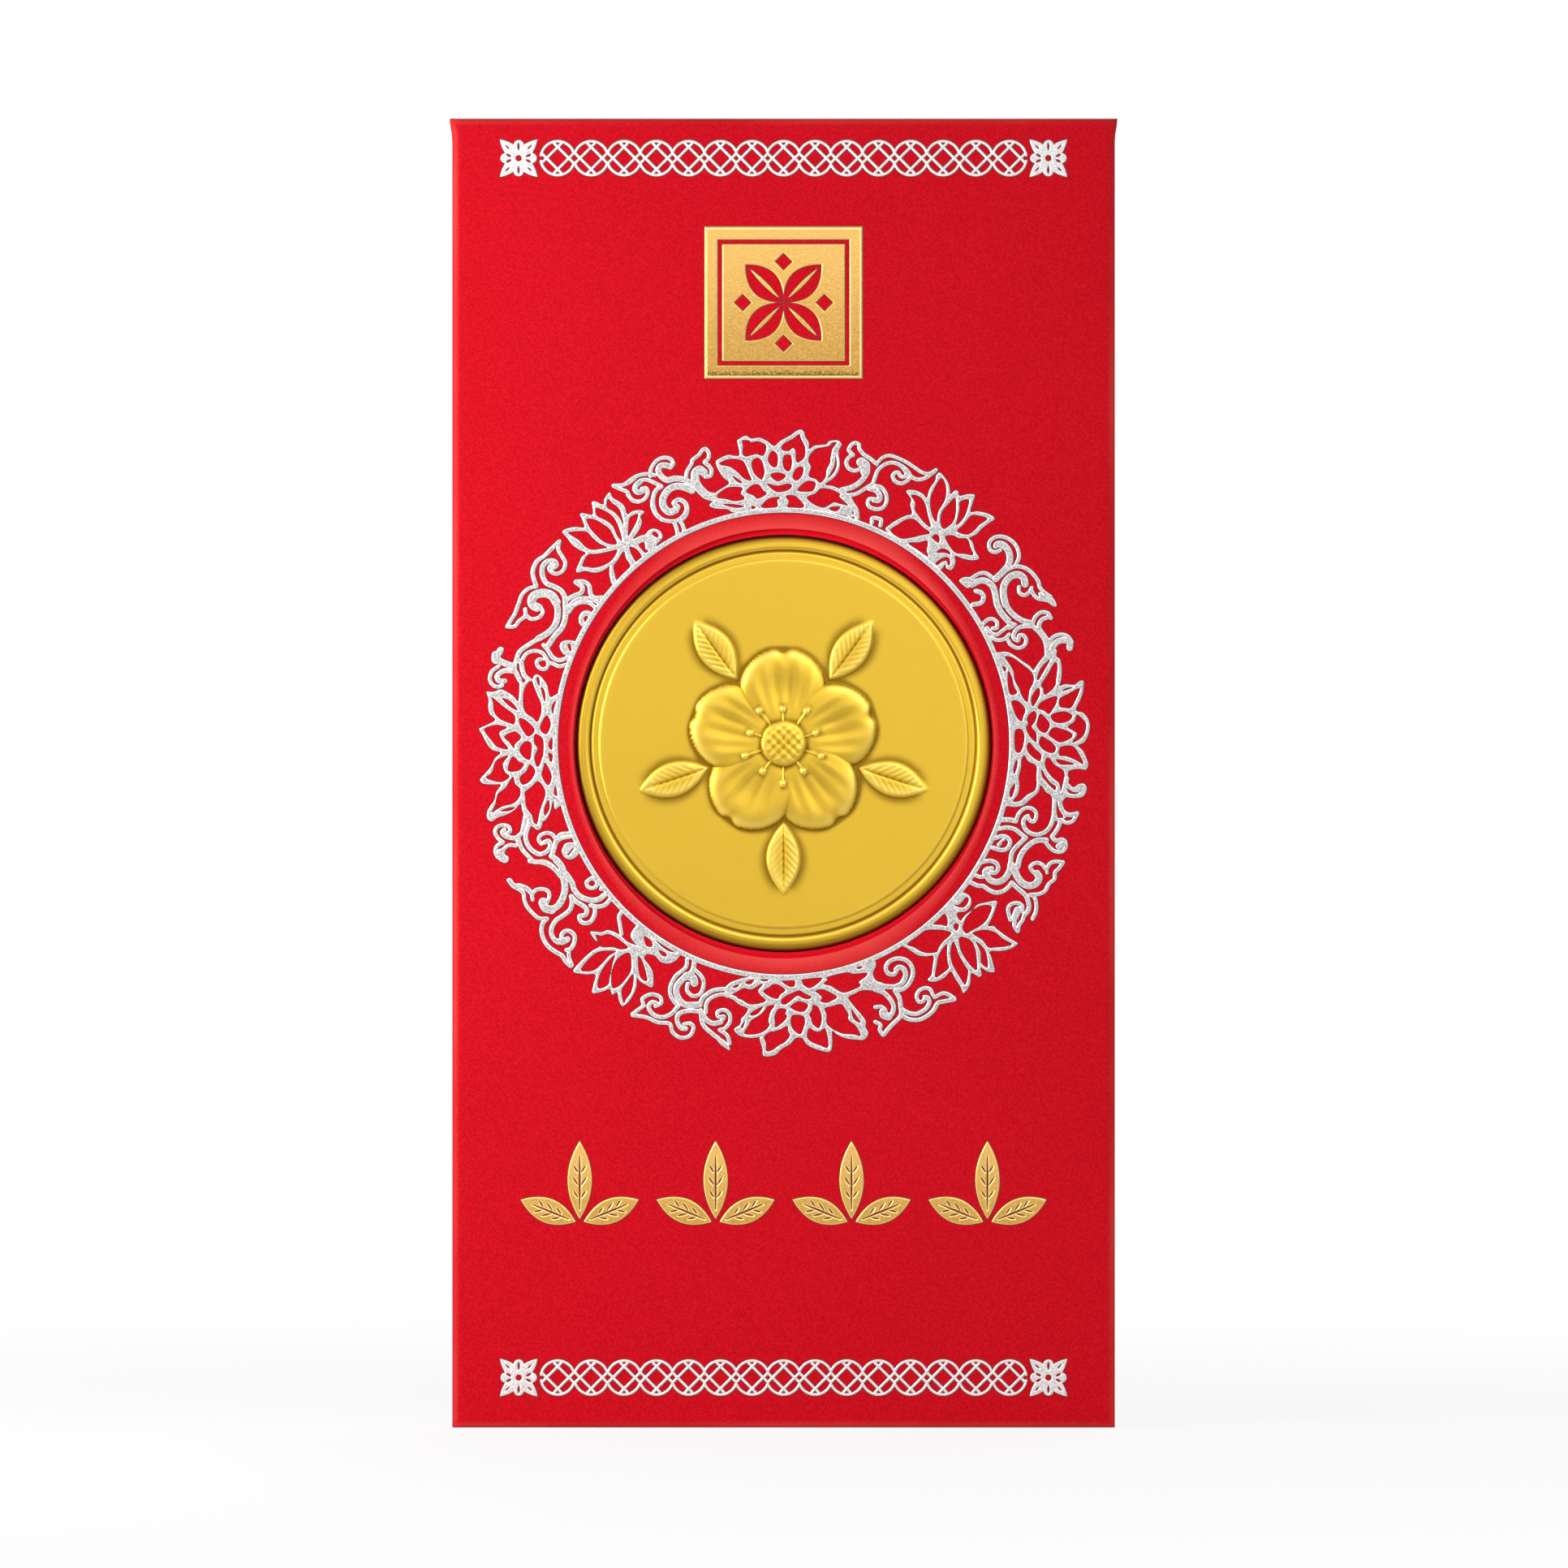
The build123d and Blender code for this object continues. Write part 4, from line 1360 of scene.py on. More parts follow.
NORTH_WEST_LOTUS = Motif(
    corner=(-27.31, 32.267),
    outlines=(
        ((129, 258), (122, 239), (121, 218), (121, 212), (109, 221), (87, 228), (61, 224), (42, 228),
         (41, 218), (48, 202), (54, 188), (63, 180), (47, 172), (30, 160), (18, 144), (6, 129),
         (14, 121), (36, 116), (59, 117), (55, 101), (49, 86), (55, 82), (79, 86), (80, 69), (78, 57),
         (84, 53), (105, 61), (109, 47), (121, 31), (129, 45), (146, 55), (158, 67), (164, 85),
         (178, 77), (196, 75), (206, 80), (197, 91), (200, 105), (194, 123), (179, 145), (194, 138),
         (208, 134), (216, 125), (227, 120), (243, 125), (251, 140), (243, 152), (236, 160),
         (235, 168), (221, 180), (194, 198), (166, 223), (142, 245)),
    ),
    openings=(
        ((20, 131), (40, 127), (65, 128), (79, 142), (95, 156), (115, 166), (97, 170), (79, 172),
         (63, 166), (45, 148)),
        ((65, 97), (85, 98), (105, 109), (121, 121), (131, 138), (139, 157), (121, 158), (103, 150),
         (83, 131), (71, 115)),
        ((88, 70), (101, 73), (117, 81), (131, 93), (142, 113), (150, 138), (151, 151), (140, 138),
         (129, 115), (113, 101), (90, 89)),
        ((117, 48), (129, 59), (142, 69), (150, 85), (156, 113), (146, 95), (131, 79), (115, 69)),
        ((170, 95), (180, 87), (191, 85), (188, 101), (178, 121), (167, 138), (167, 113)),
        ((55, 212), (61, 194), (71, 183), (91, 182), (121, 176), (140, 172), (134, 188), (121, 202),
         (101, 212), (81, 216), (67, 214)),
        ((140, 246), (134, 233), (131, 212), (142, 196), (156, 176), (162, 194), (172, 212),
         (158, 227)),
        ((171, 165), (186, 170), (198, 184), (199, 192), (186, 201), (178, 190), (172, 178)),
        ((192, 160), (204, 153), (208, 160), (209, 170), (216, 175), (208, 179), (200, 172)),
        ((225, 131), (233, 128), (241, 136), (239, 142), (229, 138)),
    ),
    strokes=(
        (0.5, ((182, -2), (168, 8), (152, 14), (131, 15))),
        (0.5, ((131, 16), (146, 23), (163, 30), (169, 41), (178, 52), (192, 55))),
        (0.5, ((225, 53), (227, 71), (237, 89), (253, 99), (269, 102), (287, 100), (303, 87),
               (311, 71))),
        (0.5, ((277, 102), (284, 117), (288, 134))),
        (0.5, ((291, 99), (300, 113), (304, 127))),
    ),
)
WEST_SCROLL = Motif(
    corner=(-34.249, 25.328),
    outlines=(
        ((185, 200), (192, 185), (205, 181), (217, 187), (215, 202), (202, 220), (188, 217)),
        ((138, 271), (144, 257), (162, 254), (177, 259), (169, 281), (162, 293), (147, 288)),
    ),
    openings=(
        ((197, 202), (202, 195), (208, 199), (205, 209), (201, 210)),
        ((157, 266), (163, 263), (167, 272), (166, 281), (162, 279)),
        ((92, 310), (95, 304), (101, 306), (106, 315), (99, 316)),
    ),
    strokes=(
        (0.55, ((81, 122), (74, 101), (73, 83), (83, 61), (101, 48), (116, 33), (137, 13))),
        (0.5, ((137, 13), (135, 33), (145, 51), (152, 66), (147, 83), (131, 92), (116, 86), (113, 76),
               (119, 70))),
        (0.64, ((153, 154), (142, 134), (124, 123), (106, 115), (97, 99), (96, 77), (107, 62),
               (124, 61), (130, 71), (121, 77))),
        (0.5, ((81, 123), (62, 128), (47, 142), (39, 162), (30, 187), (18, 207), (10, 221))),
        (0.5, ((10, 221), (28, 220), (40, 206), (54, 195), (54, 178))),
        (0.5, ((56, 193), (68, 202), (86, 199), (97, 187), (91, 172))),
        (1.09, ((83, 174), (73, 169), (70, 157), (78, 144), (99, 139), (118, 145), (130, 162))),
        (0.79, ((128, 157), (134, 185), (128, 215), (111, 235), (86, 250))),
        (0.59, ((96, 245), (61, 266), (40, 283), (32, 306))),
        (0.69, ((152, 152), (153, 177), (152, 200), (144, 223), (126, 244), (111, 266))),
        (0.55, ((99, 266), (109, 278), (121, 296), (138, 303), (157, 297))),
        (0.59, ((154, 156), (174, 145), (191, 138), (194, 126), (187, 119), (178, 113))),
        (0.55, ((178, 111), (196, 111), (210, 121), (214, 142), (223, 150), (243, 150))),
        (0.5, ((159, 178), (168, 163), (182, 154), (202, 151), (220, 156), (235, 164))),
        (0.5, ((161, 185), (172, 170), (190, 162), (210, 163), (225, 174))),
        (0.5, ((47, 302), (57, 287), (76, 280), (95, 285), (105, 298), (111, 310))),
        (0.5, ((111, 310), (104, 324), (89, 322), (82, 310), (87, 301), (97, 302))),
        (0.5, ((111, 309), (121, 311), (137, 318), (152, 314))),
        (0.59, ((32, 306), (43, 306), (47, 326), (52, 341), (62, 350))),
        (0.5, ((-3, 309), (15, 315), (30, 311))),
    ),
)
WEST_LOTUS = Motif(
    corner=(-38.215, 12.441),
    outlines=(
        ((221, 126), (196, 135), (191, 125), (187, 107), (175, 89), (163, 80), (155, 83), (152, 90),
         (139, 92), (128, 100), (122, 92), (119, 95), (119, 117), (116, 145), (104, 133), (89, 123),
         (73, 116), (57, 122), (40, 122), (39, 126), (44, 142), (43, 161), (47, 177), (60, 191),
         (44, 201), (24, 210), (21, 215), (30, 231), (38, 247), (52, 264), (73, 271), (60, 284),
         (51, 303), (38, 319), (24, 335), (25, 343), (35, 348), (57, 349), (74, 350), (63, 367),
         (58, 387), (47, 403), (40, 417), (41, 433), (52, 439), (66, 430), (89, 422), (107, 411),
         (122, 397), (126, 414), (136, 436), (147, 449), (155, 455), (163, 460), (172, 455),
         (177, 439), (183, 436), (193, 420), (202, 389), (205, 408), (210, 408), (218, 401),
         (226, 395), (220, 348), (213, 284), (212, 221), (217, 174)),
    ),
    openings=(
        ((130, 120), (138, 103), (149, 96), (155, 111), (164, 133), (173, 155), (172, 177), (163, 196),
         (152, 187), (133, 172), (128, 149)),
        ((161, 89), (166, 87), (169, 98), (168, 109), (163, 101)),
        ((172, 112), (179, 117), (183, 133), (182, 147), (177, 136)),
        ((209, 145), (204, 164), (202, 177), (198, 168), (199, 155)),
        ((185, 180), (196, 202), (185, 226), (169, 212)),
        ((199, 234), (200, 261), (193, 262), (190, 250)),
        ((190, 272), (200, 277), (199, 292), (193, 291)),
        ((51, 136), (63, 144), (79, 158), (107, 180), (107, 201), (92, 198), (70, 188), (57, 171),
         (55, 152)),
        ((77, 139), (92, 142), (107, 155), (114, 168), (95, 158)),
        ((33, 215), (57, 204), (76, 205), (89, 210), (71, 221), (76, 240), (92, 262), (66, 258),
         (52, 243)),
        ((120, 187), (136, 193), (155, 212), (153, 224), (139, 231), (126, 215), (119, 199)),
        ((82, 232), (104, 220), (115, 223), (123, 235), (109, 250), (106, 261), (95, 247)),
        ((119, 266), (126, 250), (138, 243), (149, 250), (149, 269), (145, 288), (130, 283)),
        ((156, 228), (164, 227), (177, 240), (178, 272), (175, 284), (168, 303), (160, 303),
         (156, 281), (163, 262), (155, 247)),
        ((92, 278), (79, 299), (84, 319), (95, 330), (73, 343), (38, 333), (52, 319), (62, 291)),
        ((104, 280), (117, 292), (131, 300), (117, 315), (92, 316), (95, 294)),
        ((145, 300), (158, 318), (145, 341), (126, 349), (120, 332), (136, 316)),
        ((183, 296), (198, 329), (189, 351), (174, 329), (177, 310)),
        ((103, 330), (109, 348), (121, 360), (120, 379), (104, 395), (76, 403), (52, 417), (60, 398),
         (66, 373), (85, 357)),
        ((73, 414), (92, 406), (109, 405), (95, 413)),
        ((133, 367), (149, 354), (164, 341), (177, 354), (183, 373), (174, 401), (168, 420),
         (163, 444), (155, 443), (149, 424), (136, 405), (133, 379)),
        ((191, 387), (193, 408), (182, 425), (179, 414), (183, 398)),
        ((207, 352), (212, 376), (204, 373), (204, 364)),
    ),
    strokes=(
        (0.79, ((106, 61), (79, 51), (65, 40), (73, 20))),
        (1.09, ((62, 33), (62, 44))),
        (0.64, ((106, 72), (82, 71), (66, 82), (68, 95), (83, 96))),
        (0.5, ((68, 60), (52, 73), (47, 92), (54, 106), (66, 110), (77, 107))),
        (0.59, ((103, 62), (111, 76), (120, 95))),
    ),
)
WEST_LOWER = Motif(
    corner=(-36.232, -4.411),
    outlines=(
        ((187, 163), (193, 155), (209, 153), (221, 161), (226, 178), (215, 191), (202, 195),
         (189, 189), (183, 176)),
    ),
    openings=(
        ((192, 177), (197, 182), (203, 176), (210, 167), (212, 169), (204, 180), (198, 185)),
    ),
    strokes=(
        (0.59, ((105, 95), (102, 112), (96, 129), (95, 144), (100, 160), (112, 174), (129, 182),
               (146, 176), (155, 163), (150, 150), (139, 154))),
        (0.5, ((133, 157), (127, 148), (131, 136), (146, 130), (160, 134), (169, 144), (181, 133),
               (201, 131))),
        (0.5, ((170, 152), (183, 143), (202, 140))),
        (0.59, ((169, 150), (164, 170), (158, 187))),
        (0.69, ((158, 187), (172, 197), (185, 215), (190, 233))),
        (0.55, ((78, 148), (86, 170), (103, 189), (116, 201), (138, 200), (157, 209), (172, 224),
               (183, 236))),
        (0.5, ((256, 240), (267, 247), (268, 259), (259, 265), (247, 262), (244, 250), (256, 240))),
        (0.5, ((39, 153), (27, 143), (20, 129), (25, 116), (39, 111), (53, 115), (57, 126), (51, 130))),
        (0.59, ((77, 143), (58, 142), (44, 137), (38, 129), (42, 123))),
        (0.55, ((74, 140), (86, 129), (90, 112), (95, 86))),
        (0.5, ((71, 161), (54, 160), (41, 170), (37, 183))),
        (0.5, ((39, 154), (26, 161), (21, 176), (26, 189))),
        (0.99, ((34, 178), (35, 189), (44, 194))),
        (0.59, ((75, 150), (81, 160))),
    ),
)
SOUTH_WEST = Motif(
    corner=(-34.249, -14.324),
    strokes=(
        (0.64, ((15, 48), (26, 61), (40, 61), (57, 68), (71, 80))),
        (0.5, ((26, 63), (41, 71), (50, 81), (52, 97), (59, 113), (71, 127), (87, 140), (106, 141))),
        (0.5, ((72, 95), (71, 83), (81, 71), (97, 69), (110, 75), (113, 87), (108, 101))),
        (0.84, ((142, 26), (149, 49), (151, 71), (145, 93), (134, 110), (119, 119))),
        (1.04, ((119, 120), (104, 116), (97, 105), (98, 100))),
        (0.55, ((65, 1), (87, 3), (107, 8), (125, 20), (140, 38))),
        (0.69, ((129, 0), (140, 12), (150, 32))),
        (0.69, ((154, 32), (168, 53), (174, 71), (188, 87), (212, 96), (233, 94), (247, 84))),
        (0.5, ((239, 69), (249, 70), (255, 79))),
        (0.59, ((166, 87), (178, 99), (194, 109), (204, 119), (203, 130), (194, 134))),
        (0.55, ((194, 133), (187, 135), (187, 144), (194, 151), (206, 152), (217, 145), (224, 130),
               (224, 115))),
        (0.55, ((214, 109), (233, 112), (250, 107), (261, 95))),
        (0.59, ((167, 87), (168, 105), (162, 121), (146, 134), (129, 146), (119, 164), (119, 182),
               (129, 196), (144, 200))),
        (0.79, ((134, 197), (146, 197), (157, 192))),
        (0.55, ((144, 192), (143, 182), (151, 172), (163, 172), (174, 183), (174, 199), (166, 214),
               (155, 218))),
        (0.55, ((107, 142), (97, 153), (94, 172), (99, 192), (111, 210), (129, 223), (144, 232),
               (153, 246), (165, 257))),
        (0.5, ((161, 218), (161, 237), (168, 255))),
        (0.5, ((289, 125), (283, 138), (285, 154), (289, 179))),
    ),
)
SOUTH_WEST_LOTUS = Motif(
    corner=(-35.736, -25.229),
    outlines=(
        ((243, -45), (270, -44), (287, -49), (313, -38), (334, -20), (357, -11), (383, 4), (374, 19),
         (387, 38), (396, 57), (395, 90), (379, 85), (364, 76), (357, 68), (355, 91), (345, 114),
         (334, 129), (321, 137), (313, 125), (308, 104), (296, 109), (290, 95), (273, 101), (248, 105),
         (251, 83), (255, 60), (231, 59), (201, 52), (224, 23), (247, 2), (266, -11), (252, -27)),
        ((548, 212), (565, 217), (578, 228), (584, 245), (571, 238), (558, 228)),
        ((341, -34), (357, -61), (374, -53), (398, -27), (429, 0), (455, 8), (451, 23), (432, 30),
         (413, 23), (398, 9), (379, 8), (360, -8)),
    ),
    openings=(
        ((256, -36), (270, -35), (287, -39), (307, -30), (323, -18), (335, -6), (317, -2), (297, -7),
         (272, -7), (264, -14)),
        ((220, 49), (234, 27), (255, 8), (275, 2), (305, 3), (289, 14), (270, 35), (256, 47),
         (240, 52)),
        ((262, 93), (264, 64), (281, 34), (303, 12), (296, 38), (290, 68), (286, 85)),
        ((296, 91), (294, 61), (303, 30), (322, 11), (339, 8), (343, 30), (341, 53), (322, 80),
         (307, 91)),
        ((324, 129), (319, 99), (330, 80), (347, 59), (348, 80), (343, 102), (332, 118)),
        ((360, 15), (370, 28), (379, 57), (381, 76), (366, 68), (360, 46)),
        ((374, -34), (391, -23), (394, -9), (379, -11)),
        ((410, 0), (425, 6), (429, 15), (417, 13)),
    ),
    strokes=(
        (0.5, ((379, 4), (402, 9), (417, 24), (434, 28), (449, 21), (459, 9))),
        (0.5, ((479, 23), (476, 42), (451, 64), (438, 91), (440, 114), (457, 138))),
        (0.59, ((497, 27), (495, 42), (489, 57))),
        (0.79, ((489, 57), (467, 72), (453, 93), (457, 116), (474, 133), (510, 133))),
        (0.5, ((499, 49), (514, 64), (520, 83), (512, 106), (493, 112), (479, 99), (481, 82))),
        (0.99, ((478, 63), (493, 68), (497, 80))),
        (0.55, ((510, 133), (520, 114), (542, 99), (569, 95), (597, 98))),
        (0.55, ((457, 138), (440, 156), (417, 164), (396, 157), (385, 140), (393, 127), (406, 131))),
        (0.5, ((372, 133), (371, 118), (391, 108), (412, 114), (416, 129), (402, 137))),
        (0.5, ((374, 136), (362, 144), (346, 156))),
        (0.5, ((346, 159), (379, 164), (406, 176), (436, 180), (444, 201), (463, 214), (486, 209),
               (495, 190), (486, 179), (472, 181))),
        (0.59, ((512, 150), (482, 148), (459, 156), (455, 174), (464, 190), (476, 192))),
        (0.64, ((512, 148), (525, 169), (542, 179), (561, 176))),
        (0.5, ((561, 176), (569, 163), (555, 163), (554, 151), (569, 146), (582, 156), (584, 174),
               (573, 190), (559, 195))),
        (0.55, ((512, 152), (518, 182), (539, 203), (556, 216))),
        (0.5, ((559, 195), (577, 209), (583, 228))),
        (0.5, ((525, 152), (527, 129), (542, 114), (569, 108), (597, 118))),
    ),
)
SOUTH_LOTUS = Motif(
    corner=(-6.989, -26.22),
    outlines=(
        ((-2, 72), (10, 59), (26, 53), (46, 47), (79, 46), (125, 48), (178, 47), (238, 40), (291, 28),
         (336, 12), (358, 1), (366, 17), (358, 36), (365, 54), (384, 62), (384, 80), (336, 78),
         (315, 86), (298, 96), (310, 115), (329, 137), (341, 154), (340, 168), (347, 184), (336, 199),
         (317, 199), (293, 196), (271, 187), (259, 178), (259, 204), (257, 223), (250, 229),
         (235, 227), (211, 219), (195, 209), (185, 195), (169, 196), (156, 210), (135, 222),
         (118, 237), (91, 239), (88, 221), (81, 197), (83, 193), (60, 195), (36, 191), (22, 181),
         (20, 172), (34, 161), (36, 149), (48, 135), (52, 123), (31, 113), (12, 98), (-2, 95)),
    ),
    openings=(
        ((247, 46), (291, 35), (312, 38), (344, 36), (339, 46), (324, 58), (328, 68), (305, 79),
         (286, 84), (269, 77), (255, 68), (238, 63), (247, 53)),
        ((318, 24), (324, 20), (333, 22), (324, 26)),
        ((185, 58), (187, 52), (233, 48), (223, 62), (204, 73), (190, 67)),
        ((135, 56), (147, 55), (166, 55), (167, 67), (156, 70), (144, 64)),
        ((46, 59), (60, 53), (68, 54), (62, 62), (53, 64)),
        ((83, 52), (101, 52), (102, 55), (89, 56)),
        ((14, 73), (22, 66), (32, 64), (26, 71)),
        ((12, 92), (31, 79), (43, 73), (62, 76), (83, 64), (89, 65), (78, 79), (84, 91), (96, 105),
         (60, 113), (36, 101)),
        ((90, 80), (106, 70), (111, 65), (125, 64), (144, 78), (132, 89), (127, 98), (115, 98),
         (101, 91)),
        ((135, 111), (135, 101), (149, 90), (161, 85), (178, 79), (190, 85), (208, 95), (197, 100),
         (185, 97), (173, 92), (159, 103), (144, 113)),
        ((156, 118), (173, 106), (183, 106), (197, 111), (199, 120), (190, 130), (175, 130),
         (163, 125)),
        ((217, 80), (231, 76), (245, 79), (270, 94), (259, 103), (245, 109), (229, 105), (234, 97),
         (226, 88)),
        ((58, 139), (65, 130), (89, 118), (82, 131), (70, 139)),
        ((44, 184), (53, 166), (62, 151), (82, 139), (94, 127), (101, 117), (118, 115), (108, 132),
         (103, 154), (105, 166), (89, 180), (67, 186)),
        ((36, 168), (40, 160), (46, 155), (40, 171)),
        ((127, 124), (144, 124), (147, 130), (144, 135), (148, 144), (139, 156), (120, 169),
         (119, 156), (118, 142)),
        ((163, 139), (187, 141), (192, 154), (190, 168), (183, 184), (173, 183), (161, 171),
         (157, 154)),
        ((211, 115), (223, 118), (231, 135), (233, 154), (226, 171), (211, 161), (207, 147),
         (203, 137), (209, 127)),
        ((240, 123), (255, 118), (279, 112), (288, 120), (298, 137), (299, 151), (317, 166),
         (328, 190), (310, 186), (283, 184), (259, 173), (245, 159), (245, 139)),
        ((306, 125), (315, 137), (328, 157), (317, 154), (309, 144)),
        ((92, 192), (106, 180), (115, 179), (132, 174), (148, 166), (151, 178), (155, 190), (144, 204),
         (127, 214), (115, 223), (98, 227), (97, 209)),
        ((202, 171), (216, 178), (228, 179), (240, 171), (246, 185), (249, 204), (247, 219),
         (228, 213), (207, 204), (197, 192)),
    ),
)
SOUTH_EAST = Motif(
    corner=(11.35, -17.298),
    outlines=(
        ((59, 144), (76, 155), (101, 171), (121, 174), (139, 174), (137, 202), (134, 220), (126, 229),
         (129, 235), (147, 235), (167, 225), (181, 211), (192, 228), (205, 248), (213, 264),
         (228, 243), (230, 223), (233, 215), (243, 220), (250, 224), (257, 220), (255, 202),
         (271, 211), (288, 212), (286, 197), (281, 177), (277, 162), (303, 161), (326, 156),
         (345, 144), (339, 138), (319, 126), (296, 109), (286, 100), (273, 99), (283, 78), (291, 56),
         (295, 42), (288, 38), (268, 42), (248, 47), (233, 61), (217, 73), (207, 86), (200, 82),
         (197, 68), (217, 64), (230, 51), (231, 33), (223, 23), (210, 18), (200, 27), (182, 46),
         (157, 71), (119, 101), (83, 126)),
    ),
    openings=(
        ((75, 144), (101, 124), (121, 110), (152, 109), (169, 111), (183, 118), (164, 137), (152, 154),
         (148, 163), (126, 166), (109, 162), (91, 152)),
        ((139, 95), (152, 83), (166, 70), (173, 83), (172, 99), (157, 97)),
        ((188, 101), (193, 93), (201, 97), (200, 106), (194, 111)),
        ((211, 109), (211, 99), (220, 78), (238, 59), (260, 49), (281, 52), (276, 73), (266, 89),
         (253, 100), (233, 111), (220, 118)),
        ((235, 118), (255, 110), (273, 110), (291, 116), (309, 131), (331, 144), (314, 150),
         (291, 152), (273, 152), (258, 134)),
        ((243, 138), (260, 152), (268, 167), (272, 200), (262, 197), (255, 187), (254, 164)),
        ((202, 129), (217, 128), (233, 138), (242, 159), (245, 182), (245, 207), (233, 200),
         (217, 180), (205, 157)),
        ((188, 138), (195, 152), (202, 172), (215, 195), (224, 212), (217, 243), (202, 223),
         (187, 197), (181, 174), (182, 152)),
        ((173, 144), (172, 164), (174, 190), (177, 202), (162, 215), (144, 225), (147, 195),
         (152, 172), (162, 154)),
        ((188, 47), (200, 48), (212, 38), (215, 32), (223, 30), (225, 40), (215, 53), (202, 54)),
    ),
    strokes=(
        (0.64, ((-5, 242), (20, 247), (43, 248), (61, 240), (71, 223), (68, 207), (56, 200), (48, 206))),
        (0.55, ((46, 258), (66, 253), (81, 238), (89, 217), (85, 197), (71, 183), (51, 179), (32, 186),
               (23, 201), (28, 215), (42, 218), (49, 209))),
        (0.59, ((-3, 255), (18, 263), (35, 281), (42, 298), (38, 314), (28, 322))),
        (0.99, ((29, 321), (18, 317), (16, 311))),
        (0.5, ((-3, 298), (10, 297), (20, 303), (23, 312))),
        (0.59, ((46, 259), (56, 276), (59, 296), (61, 311))),
        (0.55, ((61, 306), (58, 321), (40, 339), (28, 352), (19, 364))),
        (0.5, ((-3, 334), (10, 342), (8, 354), (16, 366))),
        (0.55, ((62, 303), (78, 312), (99, 314), (119, 303), (129, 288), (126, 276), (118, 273))),
        (0.5, ((138, 269), (131, 255), (119, 251), (104, 258), (98, 273), (104, 285), (114, 283),
               (119, 274))),
        (0.55, ((61, 317), (78, 327), (101, 329), (121, 321), (139, 306), (150, 288), (164, 284),
               (190, 279))),
        (0.5, ((142, 274), (162, 264), (177, 268), (190, 277))),
    ),
)
SOUTH_EAST_SCROLL = Motif(
    corner=(20.272, -4.411),
    openings=(
        ((128, 154), (134, 150), (137, 155), (132, 159)),
    ),
    strokes=(
        (0.69, ((224, 2), (241, 21), (258, 37), (264, 46))),
        (0.64, ((286, -2), (282, 17), (277, 32), (265, 43))),
        (0.5, ((288, 13), (299, 23), (310, 21), (318, 15), (327, 15), (330, 24), (322, 34), (307, 40),
               (286, 38))),
        (0.55, ((257, 43), (256, 64), (254, 90), (247, 112), (234, 127), (215, 134), (198, 131),
               (185, 121), (180, 105), (185, 93), (191, 89))),
        (0.5, ((164, 96), (170, 82), (181, 71), (196, 69), (209, 77), (212, 90), (206, 102),
               (197, 100), (192, 91))),
        (0.64, ((127, 98), (146, 98), (162, 101))),
        (0.59, ((269, 45), (271, 64), (279, 80), (294, 86), (311, 83))),
        (0.5, ((311, 85), (301, 101), (286, 105), (271, 98))),
        (0.55, ((271, 98), (267, 114), (258, 129), (251, 139), (258, 148), (267, 149))),
        (0.5, ((263, 149), (274, 146), (283, 153), (283, 167), (273, 176), (258, 175), (247, 168),
               (235, 154))),
        (0.79, ((267, 163), (276, 158))),
        (0.69, ((236, 148), (217, 148), (200, 155), (183, 171), (172, 190), (167, 212))),
        (0.55, ((120, 120), (140, 117), (159, 121), (172, 131), (186, 142))),
        (0.59, ((186, 142), (168, 159), (155, 174), (150, 193), (150, 212))),
        (0.89, ((159, 213), (163, 232), (176, 251), (193, 259), (211, 254), (219, 240), (213, 229))),
        (0.5, ((207, 228), (198, 217), (202, 207), (215, 203), (228, 209), (236, 218), (245, 205),
               (258, 200), (277, 202))),
        (0.5, ((277, 203), (267, 217), (258, 226), (256, 243), (243, 254), (234, 271), (219, 279),
               (200, 281))),
        (0.4, ((237, 215), (238, 228))),
        (0.79, ((150, 206), (146, 225), (133, 243), (116, 250), (99, 245), (90, 232))),
        (0.55, ((77, 202), (97, 198), (114, 204), (119, 217), (112, 227), (101, 227))),
        (0.59, ((90, 236), (85, 228), (90, 219), (103, 217))),
        (0.5, ((61, 233), (77, 238), (90, 234))),
        (0.55, ((51, 251), (69, 259), (82, 260), (97, 270), (114, 276), (133, 271), (148, 258),
               (152, 252))),
        (0.59, ((152, 252), (168, 267), (185, 282), (193, 301), (193, 318), (183, 330))),
        (0.5, ((196, 281), (207, 287), (212, 305), (211, 322), (203, 340))),
        (0.5, ((148, 342), (143, 320), (148, 306), (163, 301), (177, 308), (178, 322))),
        (0.89, ((160, 335), (167, 318))),
        (0.55, ((112, 143), (127, 138), (140, 141), (148, 153), (142, 167), (127, 172), (105, 166))),
        (0.5, ((120, 159), (131, 148))),
        (0.5, ((143, 320), (148, 340), (159, 346), (158, 357), (166, 370))),
        (0.5, ((183, 330), (178, 344), (170, 355), (167, 370))),
    ),
)

WREATH = (
    NORTH_LOTUS,
    NORTH_EAST,
    EAST_SCROLL,
    EAST_LOTUS,
    NORTH_WEST,
    NORTH_WEST_LOTUS,
    WEST_SCROLL,
    WEST_LOTUS,
    WEST_LOWER,
    SOUTH_WEST,
    SOUTH_WEST_LOTUS,
    SOUTH_LOTUS,
    SOUTH_EAST,
    SOUTH_EAST_SCROLL,
)


